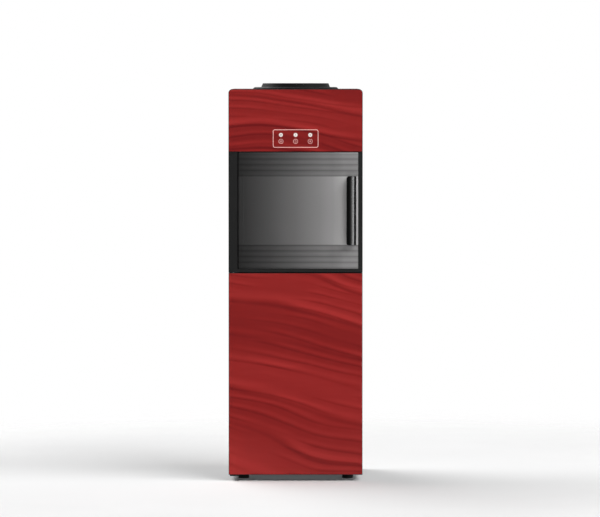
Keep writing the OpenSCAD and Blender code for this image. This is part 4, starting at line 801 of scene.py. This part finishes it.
def bottleCollar():
    low, high = corners("bottle_collar")
    c = collarSet
    outer, seat, well, w = high[0], c["seat"], c["well"], c["wall"]
    top = high[2] - c["rimHeight"]
    floor, neckZ, seatZ = low[2], top - c["neckDrop"], top - c["seatDrop"]
    profile = [(seat, high[2]), (c["rim"], high[2]), (c["foot"], top + c["flange"]),
               (outer - c["flangeSlope"], top + c["flange"]), (outer, top + c["flangeEdge"]), (outer, top),
               (seat + w, top), (seat + w, seatZ), (well + w, neckZ), (well + w, floor),
               (well - c["lip"], floor), (well - c["lip"], floor + w), (well, floor + w),
               (well, neckZ + c["rise"]), (seat, seatZ + c["rise"])]
    middle = (low + high) / 2
    return turned(softened(profile, c["soft"]), (middle[0], middle[1], 0), "z", 128)


remade("bottleCollar", bottleCollar(), "bottle_collar", crease=50, finish=collarBlack)

# Feet: turned rubber with a slight taper, a groove at shares of the height, and a deep screw hole
footSet = {
    "radius": 0.014, "taper": 0.0006, "hole": 0.0046, "neck": 0.0022, "groove": 0.0007, "soft": 0.0009,
    "grooveAt": (0.36, 0.42, 0.48), "grooveTaper": (0.62, 0.5),
}
footLow, footHigh = corners("rubber_feet")
footEnds = np.array([footLow + footSet["radius"], footHigh - footSet["radius"]])
footSpots = [(x, y) for x in footEnds[:, 0] for y in footEnds[:, 1]]


def rubberFeet():
    f = footSet
    r, h = f["radius"], footHigh[2]
    under, over = (r - share * f["taper"] for share in f["grooveTaper"])
    start, middle, end = (share * h for share in f["grooveAt"])
    profile = [(f["hole"], 0), (r - f["taper"], 0), (under, start), (under - f["groove"], middle),
               (over, end), (r, h), (f["neck"], h), (f["neck"], h / 2), (f["hole"], h / 2)]
    return joined([turned(softened(profile, f["soft"], 3), (*spot, 0), "z", 40) for spot in footSpots])


remade("rubberFeet", rubberFeet(), "rubber_feet", finish=footRubber)

# Door gasket: a bellows section carried round the door, in millimetres from its outer edge and from the door
gasketSet = {
    "corner": 0.014, "soft": 0.0006,
    "bellows": (
        (0.5, 0), (11.5, 0), (11.5, 1.2), (8.4, 1.8), (10.0, 3.1), (8.6, 4.3), (10.6, 5.0), (11.2, 7.0),
        (10.4, 7.7), (1.6, 7.7), (0.8, 7.0), (1.4, 5.0), (3.4, 4.3), (2.0, 3.1), (3.6, 1.8), (0.5, 1.2)),
}


def doorGasket():
    low, high = corners("fridge_door_gasket")
    bellows = np.array(gasketSet["bellows"]) / 1000
    profile = softened(bellows, gasketSet["soft"], 3)
    profile[:, 1] = low[1] + profile[:, 1] * (high[1] - low[1]) / bellows[:, 1].max()
    box = (low[0], high[0], low[2], high[2])
    return carried(lambda i: roundedOutline(*box, gasketSet["corner"], i, 8), profile, True)


remade("doorGasket", doorGasket(), "fridge_door_gasket", crease=50)
print("controls, collar, feet and gasket made")

# Condenser: a serpentine tube between two layers of wires, on four stand-offs
condenserSet = {
    "runs": 13, "pitch": 0.044, "radius": 0.0025, "wire": 0.00075, "wirePitch": 0.012, "over": 0.012,
    "clear": 0.00005, "block": 0.010, "blockShare": 0.7, "blockCorner": 0.0018, "blockEdge": 0.0001,
}


# Straight runs to the left and right by turns, joined by half circles
def condenserCoil():
    low, high = corners("condenser")
    c = condenserSet
    runs, pitch, r, wire, half = c["runs"], c["pitch"], c["radius"], c["wire"], high[0]
    tubeY = high[1] - 2 * wire - r - c["clear"]
    z0 = low[2] + c["over"]
    turnX, bendR = half - r, pitch / 2
    arc = np.linspace(-math.pi / 2, math.pi / 2, 13)[1:-1]
    path = []
    for i in range(runs):
        side = 1 if i % 2 == 0 else -1
        startX = -turnX if i == 0 else -side * (turnX - bendR)
        endX = turnX if i == runs - 1 else side * (turnX - bendR)
        path.append(np.stack([np.linspace(startX, endX, 9), np.full(9, z0 + i * pitch)], -1))
        if i < runs - 1:
            bendX = side * (turnX - bendR + bendR * np.cos(arc))
            path.append(np.stack([bendX, z0 + (i + 0.5) * pitch + bendR * np.sin(arc)], -1))
    shapes = [tube(np.insert(np.concatenate(path), 1, tubeY, axis=1), r, 14)]
    count = int(half // c["wirePitch"])
    wireX = np.arange(-count, count + 1) * c["wirePitch"]
    for y in (tubeY - r - c["clear"] - wire, high[1] - wire):
        shapes += [tube([(x, y, low[2]), (x, y, high[2])], wire, 8) for x in wireX]
        for z in (low[2] + wire, high[2] - wire):
            shapes.append(tube([(wireX[0], y, z), (wireX[-1], y, z)], wire, 8))
    blockX = c["wirePitch"] * math.floor(c["blockShare"] * half / c["wirePitch"])
    b = c["block"] / 2
    for x in (-blockX, blockX):
        for z in (z0 + pitch, z0 + (runs - 2) * pitch):
            box = (x - b, x + b, z - b, z + b)
            shapes.append(plate(box, low[1], tubeY - r - wire, c["blockCorner"], c["blockEdge"]))
    return joined(shapes)


remade("condenserCoil", condenserCoil(), "condenser", crease=50)

# Valve springs: wire wound on a helix, shortened as its valve lifts
taps = ("hot", "normal", "cold")
springSet = {"wire": 0.0007, "turns": 5, "stepsPerTurn": 24, "keep": 0.863}


def valveSpring(node):
    low, high = corners(node)
    s = springSet
    centre = (low + high) / 2
    radius = (high[0] - low[0]) / 2 - s["wire"]
    a = np.linspace(0, 2 * math.pi * s["turns"], s["stepsPerTurn"] * s["turns"] + 1)
    z = np.linspace(low[2] + s["wire"], high[2] - s["wire"], len(a))
    path = np.stack([centre[0] + radius * np.cos(a), centre[1] + radius * np.sin(a), z], -1)
    piece = remade(node + "Wound", tube(path, s["wire"], 10, (0, 0, 1)), node, crease=60)
    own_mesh(piece)


for tap in taps:
    valveSpring("tap_spring_" + tap)

# Thermostat knob: ribbed skirt, grip bar and pointer line. Shares are of the radius, up the skirt
knobSet = {
    "radius": 0.014, "height": 0.012, "lift": 0.0003, "shaft": 0.003, "shaftIn": 0.001, "foot": 0.002,
    "ribStart": 0.0025, "ribEnd": 0.0012, "crown": 0.0003, "shares": (0.985, 0.96, 0.93, 0.88), "ribs": 22,
    "ribDepth": 0.045, "ribFade": 0.6, "bar": 0.005, "barHeight": 0.004, "barShort": 0.002,
    "barCorner": 0.0022, "barEdge": 0.0012, "barSink": 0.0005, "pointer": (0.003, 0.004),
    "pointerLine": 0.0011, "pointerSink": 0.0001,
}
knobLow, knobHigh = corners("thermostat_knob")
knobX, knobZ = (knobLow[0] + knobHigh[0]) / 2, (knobLow[2] + knobHigh[2]) / 2


# The skirt is a turned profile rippled by a cosine, deepest between its foot and its crown
def thermostatKnob():
    k = knobSet
    r, shaft, bar, deep = k["radius"], k["shaft"], k["bar"] / 2, k["ribDepth"]
    top = knobHigh[1] - k["barHeight"]
    base = top - k["height"] + k["lift"]
    heights = (base + k["ribStart"], top - k["ribEnd"], top - k["crown"], top)
    profile = [(0, base), (shaft, base), (r, base), (r, base + k["foot"])]
    profile += [(r * share, height) for share, height in zip(k["shares"], heights)] + [(shaft, top), (0, top)]
    depth = [0, 0, 0, 0, deep, deep, deep * k["ribFade"], 0, 0, 0]
    skirt = turned(profile, (knobX, 0, knobZ), "y", 132, k["ribs"], depth)
    reach = r - k["barShort"]
    box = (knobX - bar, knobX + bar, knobZ - reach, knobZ + reach)
    grip = carried(lambda i: roundedOutline(*box, k["barCorner"], i),
                   [(0, top - k["barSink"])] + quarterRound(-k["barEdge"], knobHigh[1]))
    return joined([skirt, grip, rod(shaft, knobLow[1], base + k["shaftIn"], (knobX, 0, knobZ), "y", 24)])


remade("thermostatKnob", thermostatKnob(), "thermostat_knob", crease=35)

# Print at the rear: the knob's scale, and the on and off marks of the switches, from each piece's edge
rearSet = {
    "plateDrop": 0.009, "above": 0.00005, "scaleTurn": (90, -180), "scaleMarks": 10, "scaleGap": 0.0016,
    "scaleEnd": 0.0034, "scaleFirst": 0.0046, "scaleLine": 0.0007, "onMark": (0.0034, 0.0066),
    "onLine": 0.0009, "offDrop": 0.005, "offR": 0.0019, "offLine": 0.0007,
}


# A stroke on a face that looks to the rear, so it is proud towards +Y
def rearStroke(points, width, y):
    return printedStroke(points, width, y, -printSet["rearProud"])


# The scale runs from the knob's rest upwards over its whole turn, the first mark longer
def rearPrint():
    s = rearSet
    y = corners("service_plate")[1][1] - s["plateDrop"] + s["above"]
    r = knobSet["radius"]
    shapes = []
    for i, turn in enumerate(np.radians(np.linspace(*s["scaleTurn"], s["scaleMarks"]))):
        ends = (r + s["scaleGap"], r + s["scaleFirst" if i == 0 else "scaleEnd"])
        spoke = np.outer(ends, (math.cos(turn), math.sin(turn))) + np.array([knobX, knobZ])
        shapes.append(rearStroke(spoke, s["scaleLine"], y))
    for node in ("rocker_hot", "rocker_cold"):
        low, high = corners(node)
        x = (low[0] + high[0]) / 2
        shapes.append(rearStroke([(x, high[2] + up) for up in s["onMark"]], s["onLine"], y))
        off = circleOutline(x, low[2] - s["offDrop"], s["offR"], 24)
        shapes.append(printedRing(off, s["offLine"], y, -printSet["rearProud"]))
    return joined(shapes)


def knobPointer():
    start, short = knobSet["pointer"]
    ends = [(knobX, knobZ + start), (knobX, knobZ + knobSet["radius"] - short)]
    return rearStroke(ends, knobSet["pointerLine"], knobHigh[1] - knobSet["pointerSink"])


makePiece("rearPrint", rearPrint(), printGrey, "cabinet")
makePiece("knobPointer", knobPointer(), printGrey, "thermostat")

# Screws: domed heads with a cross recess, and their shanks
screwSet = {
    "head": 0.0036, "dome": 0.0022, "domeFall": 0.86, "slot": 0.00055, "slotSoft": (0.7, 1.25),
    "reach": 0.0021, "reachSoft": 0.85, "deep": 0.0012, "eye": 0.02, "shank": 0.0014, "shankLong": 0.005,
    "footHead": 0.0038, "footShank": 0.002, "footShankPast": 0.0045, "fromEnd": 0.012,
}


# Dome height falls as an ellipse towards the rim, and drops along two crossed slots
def crossHead(centre, direction, radius):
    s = screwSet
    rho = np.r_[np.linspace(s["eye"], 1, 16), 1][:, None] * radius
    a = wholeTurn(48)
    u, v = rho * np.cos(a), rho * np.sin(a)
    dome = s["dome"] * np.sqrt(1 - s["domeFall"] * (rho / radius) ** 2)
    near = np.minimum(np.abs(u), np.abs(v))
    cut = 1 - smoothStep(*(share * s["slot"] for share in s["slotSoft"]), near)
    height = dome - s["deep"] * cut * (1 - smoothStep(s["reach"] * s["reachSoft"], s["reach"], rho))
    height[-1] = 0
    points = np.stack([u, height, v] if direction == "y" else [u, v, -height], -1)
    return gridShape(points + centre)


# Four screws along each side of the rear panel, and one up through each foot
def cabinetScrews():
    low, high = corners("cabinet_screws")
    s = screwSet
    backY = high[1] - s["dome"]
    panelLow, panelHigh = (corner[2] for corner in corners("rear_panel"))
    third = (panelHigh - panelLow) / 3
    shapes = []
    for x in (low[0] + s["head"], high[0] - s["head"]):
        for z in (panelLow + s["fromEnd"], panelLow + third, panelLow + 2 * third, panelHigh - s["fromEnd"]):
            shapes.append(crossHead((x, backY, z), "y", s["head"]))
            shapes.append(rod(s["shank"], backY - s["shankLong"], backY, (x, 0, z), "y", 20))
    half, end = footHigh[2] / 2, footHigh[2] + s["footShankPast"]
    for spot in footSpots:
        shapes.append(crossHead((*spot, half), "z", s["footHead"]))
        shapes.append(rod(s["footShank"], half, end, (*spot, 0), "z", 20))
    return joined(shapes)


remade("cabinetScrews", cabinetScrews(), "cabinet_screws", crease=45)
print("condenser, springs, knob and screws made")

# Mouldings, folded sheets and castings that keep their CAD shape, by the edge radius that each process leaves
plungers, bodies, levers = ([f"tap_{kind}_{tap}" for tap in taps] for kind in ("plunger", "body", "lever"))
edgeSet = {
    0.0003: ["side_panel_left", "side_panel_right", "rear_panel"] + plungers,
    0.0004: ["drip_grille", "hot_lock", "fridge_evaporator", "base_pan", "hinge_bracket_top"],
    0.0005: ["niche_frame", "tap_caps", "hinge_bracket_bottom", "bottle_probe"] + bodies,
    0.0006: ["drip_tray", "fridge_shelf", "service_plate", "drain_caps"] + levers,
    0.0007: ["top_bezel", "rocker_hot", "rocker_cold"],
    0.0008: ["fridge_door_frame", "compressor"],
    0.0009: ["fridge_door_liner"],
    0.0012: ["top_cover", "niche_liner", "fridge_liner"],
}
for edge, nodes in edgeSet.items():
    for node in nodes:
        edgedCopy(node, coverBlack if node in ("top_cover", "top_bezel") else finishes[slotOf[node]], edge)
for node in ("water_hoses", "refrigerant_pipes"):
    edgedCopy(node, finishes[slotOf[node]], 0, crease=66)
print("edged copies made:", sum(len(nodes) for nodes in edgeSet.values()))


# Studio: pale floor that fades out round the object, soft lamps and a white surround, whose spans are of a
# direction's Y and Z
studioSet = {
    "floor": (0.95, 0.97), "floorScale": 3, "fade": (0.8, 2.0), "rings": (2.2, 1.4, 0.6), "steps": 64,
    "mirrored": 0.2, "above": 0.02, "front": 0.96, "behind": 0.05, "mirrorSpan": (-0.85, -0.1),
    "aheadSpan": (0.25, 0.75), "riseSpan": (0.2, 0.5),
}
white = (1, 1, 1, 1)


# Rings of points round the object, filled in the middle
def paleFloor():
    finish, tree = startFinish("paleFloor")[:2]
    tree.nodes.clear()
    s = studioSet
    place = put(tree, "TexCoord")["Object"]
    away = put(tree, "VectorMath", {0: place}, operation="LENGTH")["Value"]
    mirrored = put(tree, "LightPath")["Is Glossy Ray"]
    below = put(tree, "NewGeometry")["Backfacing"]
    share = sums("MAXIMUM", eased(away, *s["fade"], 0, 1), below)
    tone = varied(place, s["floorScale"], 2, *s["floor"])
    matt = put(tree, "BsdfDiffuse", {"Color": blended(tone, (0, 0, 0), (1, 1, 1))})
    clear = put(tree, "BsdfTransparent")
    dim = put(tree, "Emission", {"Color": white, "Strength": s["mirrored"]})
    seen = put(tree, "MixShader", {0: mirrored, 1: matt[0], 2: dim[0]})
    mixed = put(tree, "MixShader", {0: share, 1: seen[0], 2: clear[0]})
    put(tree, "OutputMaterial", {0: mixed[0]})
    count, steps = len(s["rings"]), s["steps"]
    a = wholeTurn(steps)
    rings = np.multiply.outer(s["rings"], np.stack([np.cos(a), np.sin(a), 0 * a], -1))
    middle = list(range((count - 1) * steps, count * steps))
    mesh = bpy.data.meshes.new("paleFloor")
    mesh.from_pydata(rings.reshape(-1, 3).tolist(), [], gridFaces(count, steps) + [middle])
    mesh.materials.append(finish)
    floor = added("paleFloor", mesh)


# The camera sees white, reflections see a studio that is dark behind the camera, and light comes from low in
# front and behind
def whiteSurround():
    world = bpy.data.worlds.new("whiteSurround")
    world.use_nodes = True
    scene.world = world
    tree = world.node_tree
    tree.nodes.clear()
    s = studioSet
    ray = put(tree, "LightPath")
    seen = sums("MAXIMUM", ray["Is Glossy Ray"], ray["Is Transmission Ray"])
    part = put(tree, "SeparateXYZ", {0: put(tree, "TexCoord")["Generated"]})
    studio = eased(part[1], *s["mirrorSpan"], s["behind"], 1.0)
    ahead = eased(sums("ABSOLUTE", part[1]), *s["aheadSpan"], 0, 1)
    glow = sums("MULTIPLY", ahead, eased(part[2], *s["riseSpan"], 1, 0))
    around = sums("MULTIPLY_ADD", glow, s["front"], s["above"])
    shades = (put(tree, "Background", {0: white, 1: strength})[0] for strength in (around, studio, 1.0))
    plain, mirrored, bright = shades
    first = put(tree, "MixShader", {0: seen, 1: plain, 2: mirrored})[0]
    last = put(tree, "MixShader", {0: ray["Is Camera Ray"], 1: first, 2: bright})
    put(tree, "OutputWorld", {0: last[0]})


# Each lamp: place, width, height and watts. The strip shows only in reflections, as the handle's light line
lampSet = {
    "rightSide": ((3.4, -2.75, 4.1), 6.4, 2.2, 280), "leftSide": ((-3.4, 2.75, 4.1), 6.4, 2.2, 280),
    "stripRight": ((1.9, -2.0, 0.9), 0.5, 2.0, 66),
}
lampAim = np.array([0, 0, 0.5])


def softLamps():
    for name, (place, wide, tall, power) in lampSet.items():
        lamp = bpy.data.lights.new(name, "AREA")
        lamp.shape = "RECTANGLE"
        lamp.size, lamp.size_y = wide, tall
        lamp.energy = power
        lampObject = added(name, lamp)
        x, y, z = lampAim - np.array(place)
        lampObject.location = place
        lampObject.rotation_euler = (math.pi / 2 + math.atan2(z, math.hypot(x, y)), 0, math.atan2(-x, y))
        lampObject.visible_diffuse = name != "stripRight"


paleFloor()
whiteSurround()
softLamps()
print("studio set")
